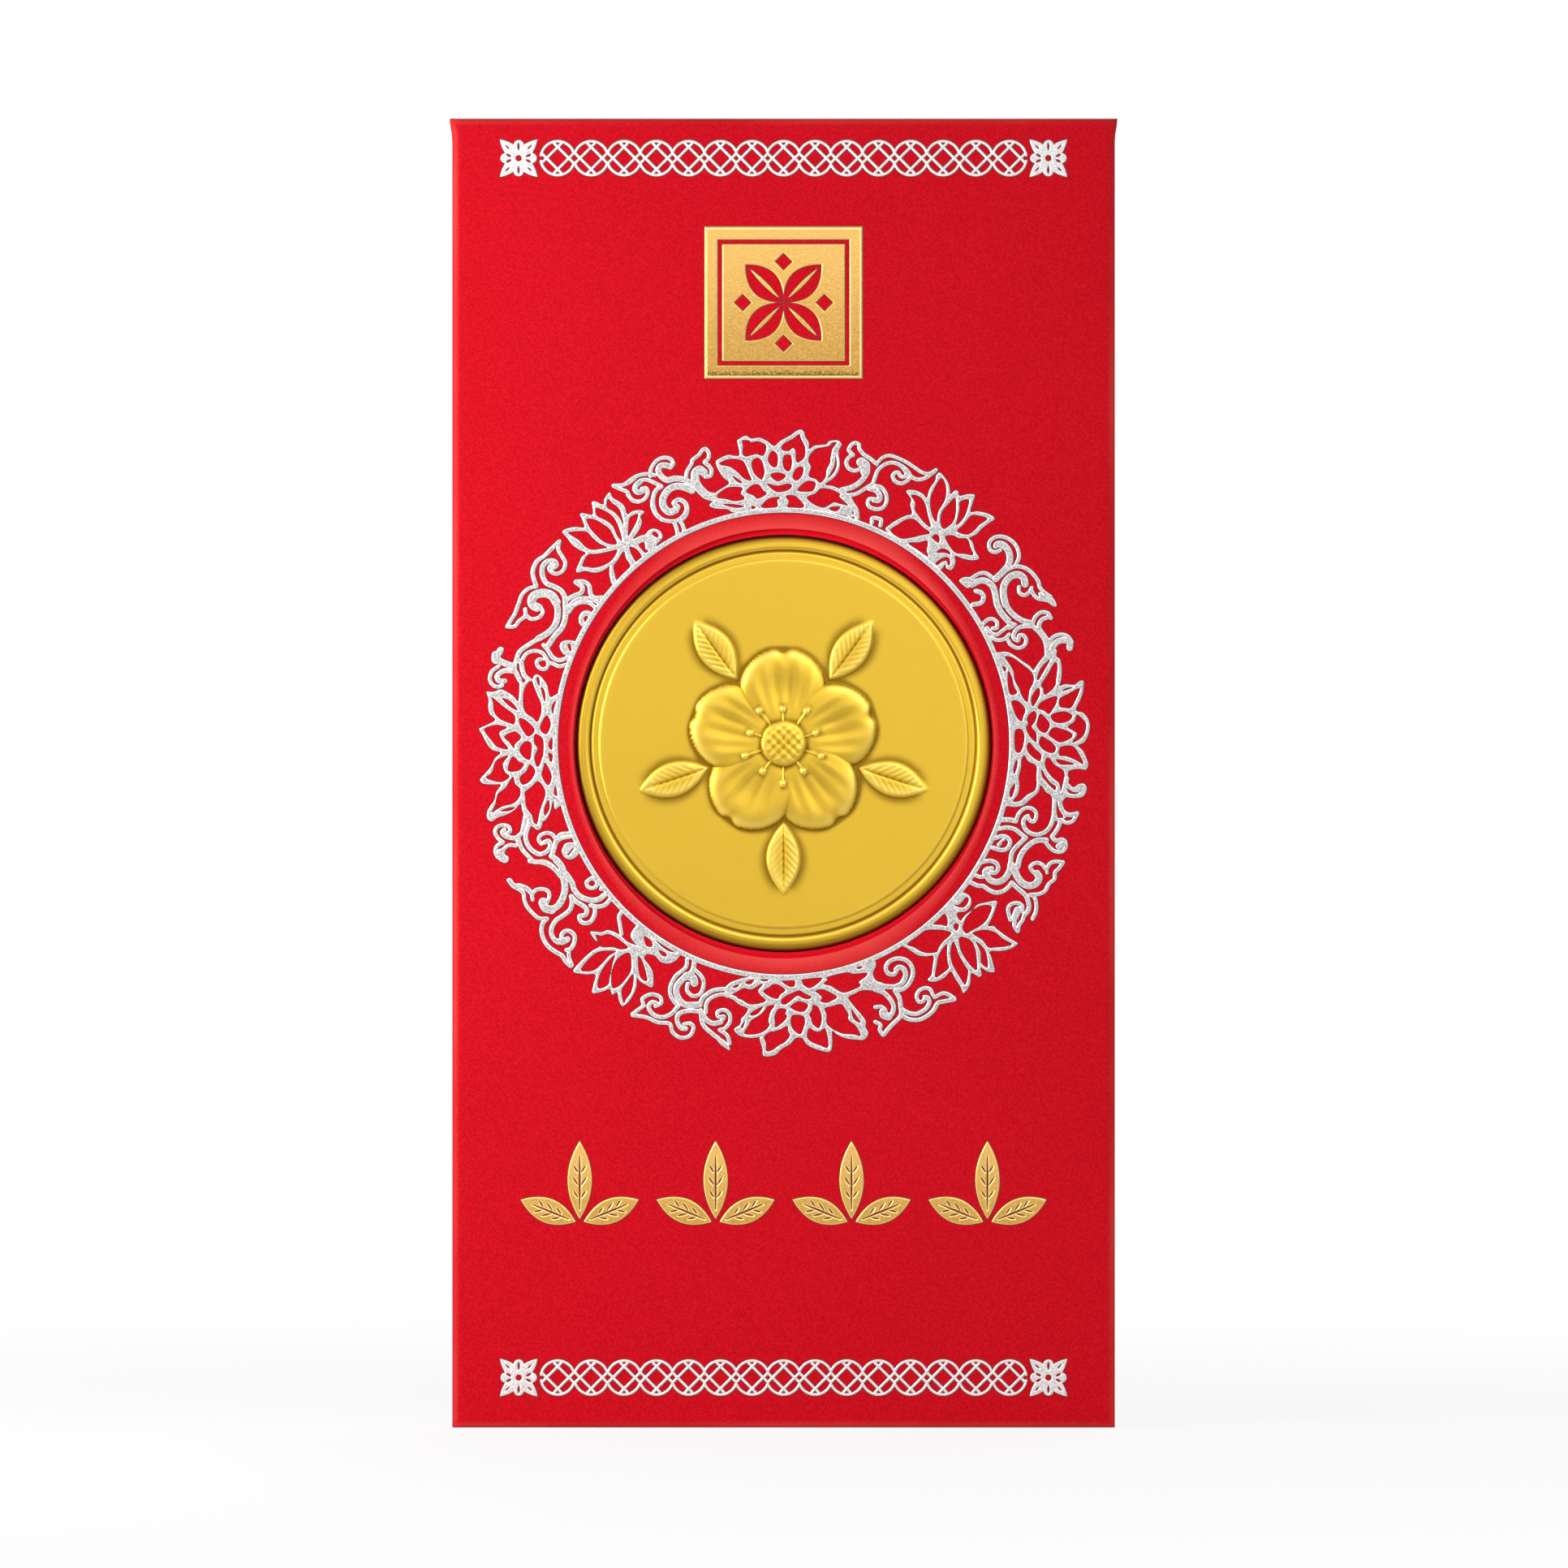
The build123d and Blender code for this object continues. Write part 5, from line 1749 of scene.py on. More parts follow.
@dataclass
class FoilStamp:
    """Foil pressed on the face of the card.

    The foil's height over the card follows its edge distance: level with the card in the painted shadow line
    round it, up over a rounded lip, and flat inside.
    """

    layout: Layout
    palette: Palette
    # The skirt carries the painted shadow line round the foil.
    skirt: float = 0.09
    lip: float = 0.11
    lip_foot: float = 0.02
    lift: float = 0.006

    def piece(
        self,
        name: str,
        stamp: Stamp,
        slot: Slot,
        node: str,
        keep: np.ndarray | None = None,
        material: bpy.types.Material | None = None,
        outer: Stamp | None = None,
    ) -> bpy.types.Object:
        """Makes a foil piece of the cells of a stamp.

        Args:
            name: Name of the piece.
            stamp: Shape of the foil, in millimetres on the front's plane.
            slot: Material slot.
            node: Solid that the piece stands for.
            keep: Cells that belong to the piece; all do by default.
            material: Material other than the slot's.
            outer: Outer shape that the material measures a frame from.

        Returns:
            The new object.
        """
        if keep is None:
            keep = np.ones((len(stamp.grid.z) - 1, len(stamp.grid.x) - 1), bool)
        flat, faces, edge = contour(stamp, -self.skirt, keep)
        full = self.layout.face - self.layout.foil_front
        height = self.lift + (full - self.lift) * smoothstep(-self.lip_foot, self.lip, edge)
        points = np.stack([flat[:, 0], self.layout.face - height, flat[:, 1]], -1)
        attributes = {"edge": edge, "up": flat[:, 1]}
        if outer:
            attributes["inset"] = outer.at(flat)
        material = material or self.palette[slot]
        return make_piece(name, points, faces, material, [node], Body.ENVELOPE, attributes)


@dataclass
class Wreath(FoilStamp):
    """Lotus wreath of silver foil round the window, in four quarters."""

    step: float = 0.09
    reach: float = 39.2
    ring: Point = (27.56, 28.2)
    ring_line: float = 0.65
    ring_points: int = 240

    def build(self) -> list[bpy.types.Object]:
        """Draws all motifs and makes the four quarters.

        Returns:
            The four pieces.
        """
        grid = Grid((-self.reach, -self.reach), (self.reach, self.reach), self.step)
        stamp = Stamp(grid)
        radii = np.array(self.ring) + self.ring_line / 2
        stamp.stroke(circle(1.0, self.ring_points) * radii, self.ring_line, closed=True)
        for motif in WREATH:
            stamp.merge(motif.stamp(grid))
        east, north = (grid.x[:-1] >= 0)[None, :], (grid.z[:-1] >= 0)[:, None]
        grid.z = grid.z + self.layout.window_height
        quarters = {
            "wreath_north_east": east & north,
            "wreath_north_west": ~east & north,
            "wreath_south_west": ~east & ~north,
            "wreath_south_east": east & ~north,
        }
        return [self.piece(name, stamp, Slot.SILVER, "wreath_foil", keep) for name, keep in quarters.items()]


@dataclass
class Border(FoilStamp):
    """Chain of round links, each with four crossing bars, and a rosette at each end.

    The links stand a little wider apart towards the ends of the chain. A link's arcs stop where they meet
    those of the next link, and leave a small gap at the ends of the chain.
    """

    node: str = "top_border_foil"
    step: float = 0.055
    half_span: float = 36.0
    half_height: float = 3.0
    link_radius: float = 2.25
    pitch: float = 3.85
    spread: float = 0.00048
    count: int = 15
    line: float = 0.36
    arc_points: int = 28
    bar_reach: float = 1.36
    bar_overrun: float = 0.42
    rosette_offset: float = 32.35
    leaf: Curve = ((0.4, 0.0), (0.9, 0.68), (1.5, 0.76), (2.2, 0.58), (2.85, 0.28), (3.28, 0.0))
    petal_centre: float = 1.6
    petal_radius: float = 0.64
    hub_radius: float = 1.0
    round_points: int = 28
    hole_radius: float = 0.36
    hole_points: int = 24
    long_slit: Curve = ((1.0, 0.0), (1.45, 0.0), (1.88, 0.0))
    side_slit: Curve = ((0.92, 0.2), (1.2, 0.33), (1.5, 0.5))
    leaf_slit: Curve = ((1.6, 0.0), (1.9, 0.0), (2.25, 0.0))
    slit_width: float = 0.27
    leaf_slit_share: float = 0.6

    def build(self) -> list[bpy.types.Object]:
        """Draws the chain and its rosettes and makes the piece.

        Returns:
            The piece, in a list.
        """
        low, high = solid_box(self.node)
        centre = (low[2] + high[2]) / 2
        corner = (self.half_span, centre + self.half_height)
        grid = Grid((-self.half_span, centre - self.half_height), corner, self.step)
        stamp = Stamp(grid)
        number = np.arange(self.count) - (self.count - 1) / 2
        radius = self.link_radius - self.line / 2
        open_angle = math.acos(self.pitch / 2 / radius)
        end_angle = self.line / radius
        rise, fall = self.bar_reach + self.bar_overrun, self.bar_reach - self.pitch / 2
        bar = np.array([(-self.bar_overrun, rise), (self.pitch / 2, fall)])
        for k, x in zip(number, number * self.pitch * (1 + self.spread * number**2)):
            right = end_angle if k == number[-1] else open_angle
            left = end_angle if k == number[0] else open_angle
            angle = np.linspace(right, math.pi - left, self.arc_points)
            arc = np.stack([np.cos(angle), np.sin(angle)], -1) * radius
            for side in (1, -1):
                stamp.stroke(arc * (1, side) + (x, centre), self.line)
            for sides in ((1, 1), (1, -1), (-1, 1), (-1, -1)):
                stamp.stroke(bar * sides + (x, centre), self.line)
        for x in (-self.rosette_offset, self.rosette_offset):
            self.rosette(stamp, np.array([x, centre]))
        name = self.node.replace("_foil", "_lace")
        return [self.piece(name, stamp, Slot.SILVER, self.node, material=self.palette.lace)]

    def rosette(self, stamp: Stamp, centre: np.ndarray) -> None:
        """Draws four pointed leaves and four round petals, with slits, round a hub with a hole.

        Args:
            stamp: Shape that the rosette is added to.
            centre: Its centre.
        """
        half = spline(self.leaf, False)
        leaf = np.vstack([half, (half * (1, -1))[-2:0:-1]])
        petal = circle(self.petal_radius, self.round_points) + (self.petal_centre, 0)
        for quarter in range(4):
            stamp.outline(turned(leaf, DIAGONAL + QUARTER_TURN * quarter) + centre)
            stamp.outline(turned(petal, QUARTER_TURN * quarter) + centre)
        stamp.outline(circle(self.hub_radius, self.round_points) + centre)
        side_slit = np.array(self.side_slit)
        for quarter in range(4):
            runs = [np.array(self.long_slit)] if quarter % 2 else [side_slit, side_slit * (1, -1)]
            for run in runs:
                stamp.opening(slit(turned(run, QUARTER_TURN * quarter) + centre, self.slit_width))
            vein = turned(np.array(self.leaf_slit), DIAGONAL + QUARTER_TURN * quarter) + centre
            stamp.opening(slit(vein, self.slit_width * self.leaf_slit_share))
        stamp.opening(circle(self.hole_radius, self.hole_points) + centre)


@dataclass
class Seal(FoilStamp):
    """Square of gold foil with a frame line and leaves left open to the red card."""

    step: float = 0.07
    spare: float = 0.3
    margin: float = 1.6
    frame_line: float = 0.55
    leaf_share: float = 0.92
    leaf_width_share: float = 0.48
    rib_share: float = 0.74
    rib_width_share: float = 0.07
    rib_gap_share: float = 0.09
    diamond_share: float = 0.21
    diamond_reach_share: float = 0.7

    def build(self) -> list[bpy.types.Object]:
        """Draws the square and its openings and makes the piece.

        Returns:
            The piece, in a list.
        """
        low, high = (corner[[0, 2]] for corner in solid_box("square_foil"))
        centre = (low + high) / 2
        grid = Grid(tuple(low - self.spare), tuple(high + self.spare), self.step)
        square, line = Stamp(grid), Stamp(grid)
        square.outline(self.box(low, high))
        line.outline(self.box(low + self.margin, high - self.margin))
        line.opening(self.box(low + self.margin + self.frame_line, high - self.margin - self.frame_line))
        stamp = Stamp(grid)
        stamp.value = np.minimum(square.value, -line.value)
        room = (high - low).min() / 2 - self.margin - self.frame_line
        half = room * self.diamond_share * math.sqrt(0.5)
        diamond = np.array([(0, -half), (half, 0), (0, half), (-half, 0)])
        diamond = diamond + (0, room * self.diamond_reach_share)
        leaf = leaf_run(room * self.leaf_share, room * self.leaf_width_share)
        rib = leaf_run(room * self.rib_share, room * self.rib_width_share, room * self.rib_gap_share)
        for quarter in range(4):
            stamp.opening(turned(leaf, DIAGONAL + QUARTER_TURN * quarter) + centre)
            stamp.outline(turned(rib, DIAGONAL + QUARTER_TURN * quarter) + centre)
            stamp.opening(turned(diamond, QUARTER_TURN * quarter) + centre)
        seal = self.palette.seal
        return [self.piece("seal_square", stamp, Slot.GOLD, "square_foil", material=seal, outer=square)]

    @staticmethod
    def box(low: np.ndarray, high: np.ndarray) -> np.ndarray:
        """Four corners of a rectangle, from its lowest and its highest one."""
        return np.array([(low[0], low[1]), (high[0], low[1]), (high[0], high[1]), (low[0], high[1])])


@dataclass
class Sprigs(FoilStamp):
    """Row of leaf sprigs in gold foil, with slits for the ribs and veins of the leaves."""

    node: str = "greeting_foil"
    step: float = 0.07
    spare: float = 0.4
    count: int = 4
    pitch: float = 16.6
    leaf_length: float = 9.6
    leaf_width: float = 3.0
    leaf_gap: float = 0.5
    side_turn: float = 68.0
    side_share: float = 0.76
    rib_shares: Point = (0.12, 0.86)
    rib_points: int = 9
    rib_width: float = 0.2
    vein_shares: Sequence[float] = (0.28, 0.44, 0.6)
    longest_vein_share: float = 0.45
    vein_start: float = 0.22
    vein_reach: Point = (0.62, 0.95)
    vein_points: int = 7
    vein_width: float = 0.16

    def build(self) -> list[bpy.types.Object]:
        """Draws the sprigs and makes the piece.

        Returns:
            The piece, in a list.
        """
        low, high = (corner[[0, 2]] for corner in solid_box(self.node))
        foot = high[1] - self.leaf_gap - self.leaf_length
        grid = Grid(tuple(low - self.spare), tuple(high + self.spare), self.step)
        stamp = Stamp(grid)
        leaves = ((self.side_turn, self.side_share), (-self.side_turn, self.side_share), (0.0, 1.0))
        for x in (np.arange(self.count) - (self.count - 1) / 2) * self.pitch:
            for turn, share in leaves:
                stamp.merge(self.leaf(grid, (x, foot), turn, self.leaf_length * share))
        return [self.piece("sprig_row", stamp, Slot.GOLD, self.node)]

    def leaf(self, grid: Grid, place: Point, turn: float, length: float) -> Stamp:
        """Draws one leaf with its slits.

        Args:
            grid: Grid of the row.
            place: Foot of the sprig.
            turn: Lean of the leaf to the left, in degrees.
            length: Length of the leaf.

        Returns:
            The leaf's shape.
        """
        shape = Stamp(grid)
        shape.outline(turned(leaf_run(length, self.leaf_width, self.leaf_gap), turn) + place)
        low, high = self.rib_shares
        heights = np.linspace(self.leaf_gap + length * low, length * high, self.rib_points)
        rib = np.stack([np.zeros_like(heights), heights], -1)
        shape.opening(turned(slit(rib, self.rib_width), turn) + place)
        across, upward = self.vein_reach
        for share in self.vein_shares:
            for side in (1, -1):
                start = np.array([self.vein_start * side, self.leaf_gap + length * share])
                end = start + np.array([across * side, upward]) * (1 - abs(share - self.longest_vein_share))
                vein = start + (end - start) * np.linspace(0, 1, self.vein_points)[:, None]
                shape.opening(turned(slit(vein, self.vein_width), turn) + place)
        return shape


@dataclass
class FrontSheet:
    """Front panel: one sheet of card with rounded folds on four sides and a die-cut window.

    Rows of points run round the panel. Each row is a blend of an oval round the window and a rectangle
    inside the panel's outline, at a depth of its own.
    """

    layout: Layout
    palette: Palette
    fold: float = 1.0
    cut_round: float = 0.18
    # Strength of the painted highlight at the window's cut edge, and of the paler fold middles.
    cut_highlight: float = 1.0
    fold_paling: float = 0.7
    across: int = 90
    upward: int = 170
    face_rows: int = 26
    arc_rows: int = 9
    ear: float = 0.32
    ear_height: float = 2.6
    ear_width: float = 3.0

    def rows(self) -> np.ndarray:
        """Works out the rows, from the window's rear edge over the face and the fold to the back.

        Returns:
            Array with a row each of blend, oval offset, rectangle inset, depth and paling, which is the
            painted highlight at the cut edge and the paler middles of the folds.
        """
        card = self.layout.face_back - self.layout.face
        turn = np.linspace(0, math.pi / 2, self.arc_rows)
        zero, one = np.zeros_like(turn), np.ones_like(turn)
        round_off = self.cut_round * (1 - np.cos(turn))
        # Painted highlight at the window's cut edge, strongest where the rounding meets the face.
        edge_highlight = self.cut_highlight * np.sin(turn) ** 2
        cut = np.stack([zero, round_off, zero, self.cut_round * (1 - np.sin(turn)), edge_highlight], -1)
        share = np.linspace(0, 1, self.face_rows)[1:-1]
        none = share * 0
        flat = np.stack([share, none + self.cut_round, none + self.fold, none, none], -1)
        paling = self.fold_paling * np.sin(2 * turn) ** 2
        bend = np.stack([one, zero, self.fold * (1 - np.sin(turn)), self.fold * (1 - np.cos(turn)), paling], -1)
        inner = self.fold - card
        inner_inset = self.fold - inner * np.sin(turn)
        hollow = np.stack([one, zero, inner_inset, self.fold - inner * np.cos(turn), zero], -1)
        back = np.stack([share, none, none + self.fold, none + card, none], -1)
        start = np.array([[0, 0, 0, card, 0.0]])
        return np.vstack([start, cut, flat, bend, hollow[::-1], back[::-1]])

    def build(self) -> list[bpy.types.Object]:
        """Makes the sheet, a little wider at its two upper corners.

        Returns:
            The piece, in a list.
        """
        lay = self.layout
        a = np.linspace(-1, 1, self.across, endpoint=False)
        b = np.linspace(-1, 1, self.upward, endpoint=False)
        one, up = np.ones_like(a), np.ones_like(b)
        square = np.vstack([np.stack(side, -1) for side in ((a, -one), (up, b), (-a, one), (-up, -b))])
        half = np.array([lay.half_width, lay.height / 2])
        offset = (0, lay.window_height - lay.height / 2)
        direction = square * half - offset
        angle = np.arctan2(direction[:, 1], direction[:, 0])
        blend, oval, inset, depth, paling = self.rows().T[:, :, None]
        ovals = np.stack([np.cos(angle) * (lay.window[0] + oval), np.sin(angle) * (lay.window[1] + oval)], -1)
        frames = square * (half - inset[..., None]) - offset
        flat = ovals * (1 - blend[..., None]) + frames * blend[..., None]
        x, z = flat[..., 0], flat[..., 1] + lay.window_height
        ear = smoothstep(lay.height - self.ear_height, lay.height, z)
        ear = ear * smoothstep(lay.half_width - self.ear_width, lay.half_width, abs(x))
        x = x + np.sign(x) * ear * self.ear
        points = np.stack([x, np.broadcast_to(lay.face + depth, x.shape), z], -1).reshape(-1, 3)
        index = np.arange(x.size).reshape(x.shape)
        index = np.vstack([index, index[:1]])
        index = np.hstack([index, index[:, :1]])
        faces = outward(points, grid_triangles(index))
        fold = {"fold": np.broadcast_to(paling, x.shape)}
        card = self.palette[Slot.CARD]
        sheet = make_piece(
            "front_sheet", points, faces, card, ["front_panel"], Body.ENVELOPE, fold
        )
        return [sheet]


@dataclass
class Lid:
    """Strip and closing flap: one run of card over the top and down the back, with two creases.

    The run is measured along its outer face from the front crease: level, round the rear fold, and down.
    Each piece is a closed sheet between two places on the run. Its outer and inner faces are rows of
    points across the card, the inner ones set off by the card's thickness.
    """

    palette: Palette
    card: float = 0.6
    bend: float = 1.0
    crease: float = 1.2
    taper: float = 6.0
    corner: float = 7.0
    edge_round: float = 0.12
    crease_paling: float = 0.5
    across: int = 61
    face_share: float = 0.97
    rim_step_share: float = 0.004
    rim_columns: int = 3
    crease_rows: int = 13
    strip_rows: int = 30
    flap_rows: int = 70

    def __post_init__(self) -> None:
        """Reads the two solids' boxes and works out the lengths of the run."""
        strip_low, strip_high = solid_box("top_strip")
        flap_low, flap_high = solid_box("closure_flap")
        self.front, self.rear = strip_low[1], strip_high[1]
        self.crown, self.tip = strip_high[2], flap_low[2]
        self.strip_half, self.flap_half = strip_high[0], flap_high[0]
        self.level = self.rear - self.bend - self.front
        self.root = self.level + self.bend * math.pi / 2
        self.length = self.root + self.crown - self.bend - self.tip

    def half_width(self, run: np.ndarray) -> np.ndarray:
        """Half the card's width along the run, tapered on the flap and rounded at its tip.

        Args:
            run: Places on the run.

        Returns:
            Half widths of the same shape.
        """
        share = np.clip((run - self.root) / (self.length - self.root), 0, 1)
        narrow = smoothstep(self.root - self.crease, self.root, run)
        half = self.strip_half + (self.flap_half - self.strip_half) * narrow - self.taper * share
        left = np.clip(self.corner - (self.length - run), 0, self.corner)
        return half - self.corner + np.sqrt(self.corner**2 - left**2)

    def face(self, run: np.ndarray, half: np.ndarray, offset: float) -> np.ndarray:
        """Rows of points across the card.

        Args:
            run: Places on the run.
            half: Half width at each place.
            offset: Distance inwards from the outer face.

        Returns:
            Array of shape (rows, columns, 3).
        """
        turn = np.clip((run - self.level) / self.bend, 0, math.pi / 2)
        y = self.front + np.minimum(run, self.level) + self.bend * np.sin(turn)
        z = self.crown - self.bend + self.bend * np.cos(turn) - np.maximum(run - self.root, 0)
        rim = 1 - self.rim_step_share * np.arange(self.rim_columns)
        u = np.concatenate([-rim, np.linspace(-self.face_share, self.face_share, self.across), rim[::-1]])
        flat = np.stack(np.broadcast_arrays(half[:, None] * u, y[:, None], z[:, None]), -1)
        inward = np.stack([0 * turn, -np.sin(turn), -np.cos(turn)], -1)[:, None]
        return flat + inward * offset

    def sheet(self, name: str, start: float, end: float, rows: int, body: Body | None) -> bpy.types.Object:
        """Makes the piece between two places on the run.

        Args:
            name: Name of the piece.
            start: Where it starts.
            end: Where it ends.
            rows: Rows of points along it.
            body: Body that it rides on, or none for a crease.

        Returns:
            The new object.
        """
        run = start + (end - start) * np.sin(np.linspace(0, math.pi / 2, rows))
        half = self.half_width(run)
        outer = self.face(run, half - self.edge_round, 0.0)
        inner = self.face(run, half - self.edge_round, self.card)
        middle = self.face(run, half, self.card / 2)
        count, columns = outer.shape[:2]
        front, back, edge = np.arange(3 * count * columns).reshape(3, count, columns)
        ring = np.hstack([front, edge[:, -1:], back[:, ::-1], edge[:, :1], front[:, :1]])
        first, last = (
            np.concatenate([line, line[-1:], line[::-1], line[:1], line[:1]]) for line in edge[[0, -1]]
        )
        kept, faces = np.unique(grid_triangles(np.vstack([first, ring, last])), return_inverse=True)
        faces = faces.reshape(-1, 3)
        points = np.concatenate([outer, inner, middle]).reshape(-1, 3)[kept]
        plane = (kept < 2 * count * columns)[faces].all(1)
        along = np.clip((run - self.level) / (self.root - self.level), 0, 1)
        paling = self.crease_paling * np.sin(math.pi * along) ** 2
        fold = {"fold": np.tile(np.repeat(paling, columns), 3)[kept]}
        node = "top_strip" if end <= self.root else "closure_flap"
        card = self.palette[Slot.CARD]
        return make_piece(name, points, outward(points, faces), card, [node], body, fold, plane)

    def build(self) -> list[bpy.types.Object]:
        """Makes the strip, the flap and the two creases between them, which ride on no body.

        Returns:
            The four pieces.
        """
        front = self.sheet("front_crease", 0.0, self.crease, self.crease_rows, None)
        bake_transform(front)
        strip = self.sheet("strip_sheet", self.crease, self.root, self.strip_rows, Body.STRIP)
        rear = self.sheet("rear_crease", self.root, self.root + self.crease, self.crease_rows, None)
        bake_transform(rear)
        flap = self.sheet("flap_sheet", self.root + self.crease, self.length, self.flap_rows, Body.FLAP)
        return [front, strip, rear, flap]


@dataclass(frozen=True)
class LeafRelief:
    """Leaf on the coin: a low cushion with a pressed midrib and fine veins, pointing along u."""

    start: float = 9.6
    length: float = 9.0
    width: float = 4.4
    rise: float = 0.2
    shoulder: float = 0.5
    rib_depth: float = 0.09
    rib_width: float = 0.16
    vein_depth: float = 0.035
    vein_rate: float = 3.6
    vein_slant: float = 1.1
    vein_power: int = 6
    vein_fade: Point = (0.1, 0.6)

    def height(self, u: np.ndarray, v: np.ndarray) -> np.ndarray:
        """Height over the coin's field.

        Args:
            u: Distance outwards along the leaf.
            v: Distance across it.

        Returns:
            Heights of the same shape.
        """
        s = (u - self.start) / self.length
        half = self.width / 2 * 4 * s * (1 - s)
        inset = np.where((s > 0) & (s < 1), half - abs(v), -1)
        cushion = self.rise * smoothstep(0, self.shoulder, inset)
        rib = self.rib_depth * np.exp(-((v / self.rib_width) ** 2))
        veins = self.vein_depth * np.cos(self.vein_rate * (u - self.vein_slant * abs(v))) ** self.vein_power
        return np.where(inset > 0, cushion - (rib + veins) * smoothstep(*self.vein_fade, inset), 0)


@dataclass(frozen=True)
class PetalRelief:
    """Petal on the coin: a low dome with a cupped middle, a notch at its tip and fine veins along u."""

    reach: float = 6.4
    radius: float = 5.3
    rise: float = 0.55
    dome_power: int = 5
    dome_round: float = 0.55
    notch_depth: float = 0.085
    notch_width: float = 0.75
    cup_depth: float = 0.22
    cup_place: float = 0.4
    cup_spans: Point = (7.0, 6.0)
    vein_height: float = 0.022
    vein_root: float = 2.0
    vein_rate: float = 34.0
    vein_edge: Point = (0.95, 0.5)
    vein_start: Point = (3.0, 6.0)
    tilt: float = 0.07
    tilt_floor: float = 0.1

    def height(self, u: np.ndarray, v: np.ndarray) -> np.ndarray:
        """Height over the coin's field.

        Args:
            u: Distance outwards along the petal.
            v: Distance across it.

        Returns:
            Heights of the same shape.
        """
        out = u - self.reach
        notch = self.notch_depth * np.exp(-((v / self.notch_width) ** 2)) * (out > 0)
        share = np.hypot(out, v) / (self.radius * (1 - notch))
        dome = self.rise * np.clip(1 - share**self.dome_power, 0, 1) ** self.dome_round
        along, across = self.cup_spans
        cup = self.cup_depth * np.exp(-((out - self.cup_place) ** 2) / along - v**2 / across)
        spread = np.arctan2(v, u + self.vein_root)
        vein = self.vein_height * np.cos(spread * self.vein_rate)
        vein = vein * smoothstep(*self.vein_edge, share) * smoothstep(*self.vein_start, u)
        tilt = self.tilt * v / self.radius
        return np.where(share < 1, dome - cup + vein + tilt * (dome > self.tilt_floor), 0)


@dataclass(frozen=True)
class StamenRelief:
    """Stamen on the coin: a thread along u that ends in a round anther."""

    lengths: Point = (4.2, 4.9)
    thread_rise: float = 0.08
    thread_width: float = 0.13
    thread_start: Point = (2.3, 2.8)
    thread_end: float = 0.3
    anther_rise: float = 0.24
    anther_area: float = 0.2

    def height(self, u: np.ndarray, v: np.ndarray, length: float) -> np.ndarray:
        """Height over the petals.

        Args:
            u: Distance outwards along the stamen.
            v: Distance across it.
            length: Distance of the anther from the coin's centre.

        Returns:
            Heights of the same shape.
        """
        thread = self.thread_rise * np.exp(-((v / self.thread_width) ** 2))
        thread = thread * smoothstep(*self.thread_start, u) * smoothstep(length, length - self.thread_end, u)
        anther = np.sqrt(np.clip(1 - ((u - length) ** 2 + v**2) / self.anther_area, 0, 1))
        return np.maximum(thread, self.anther_rise * anther)


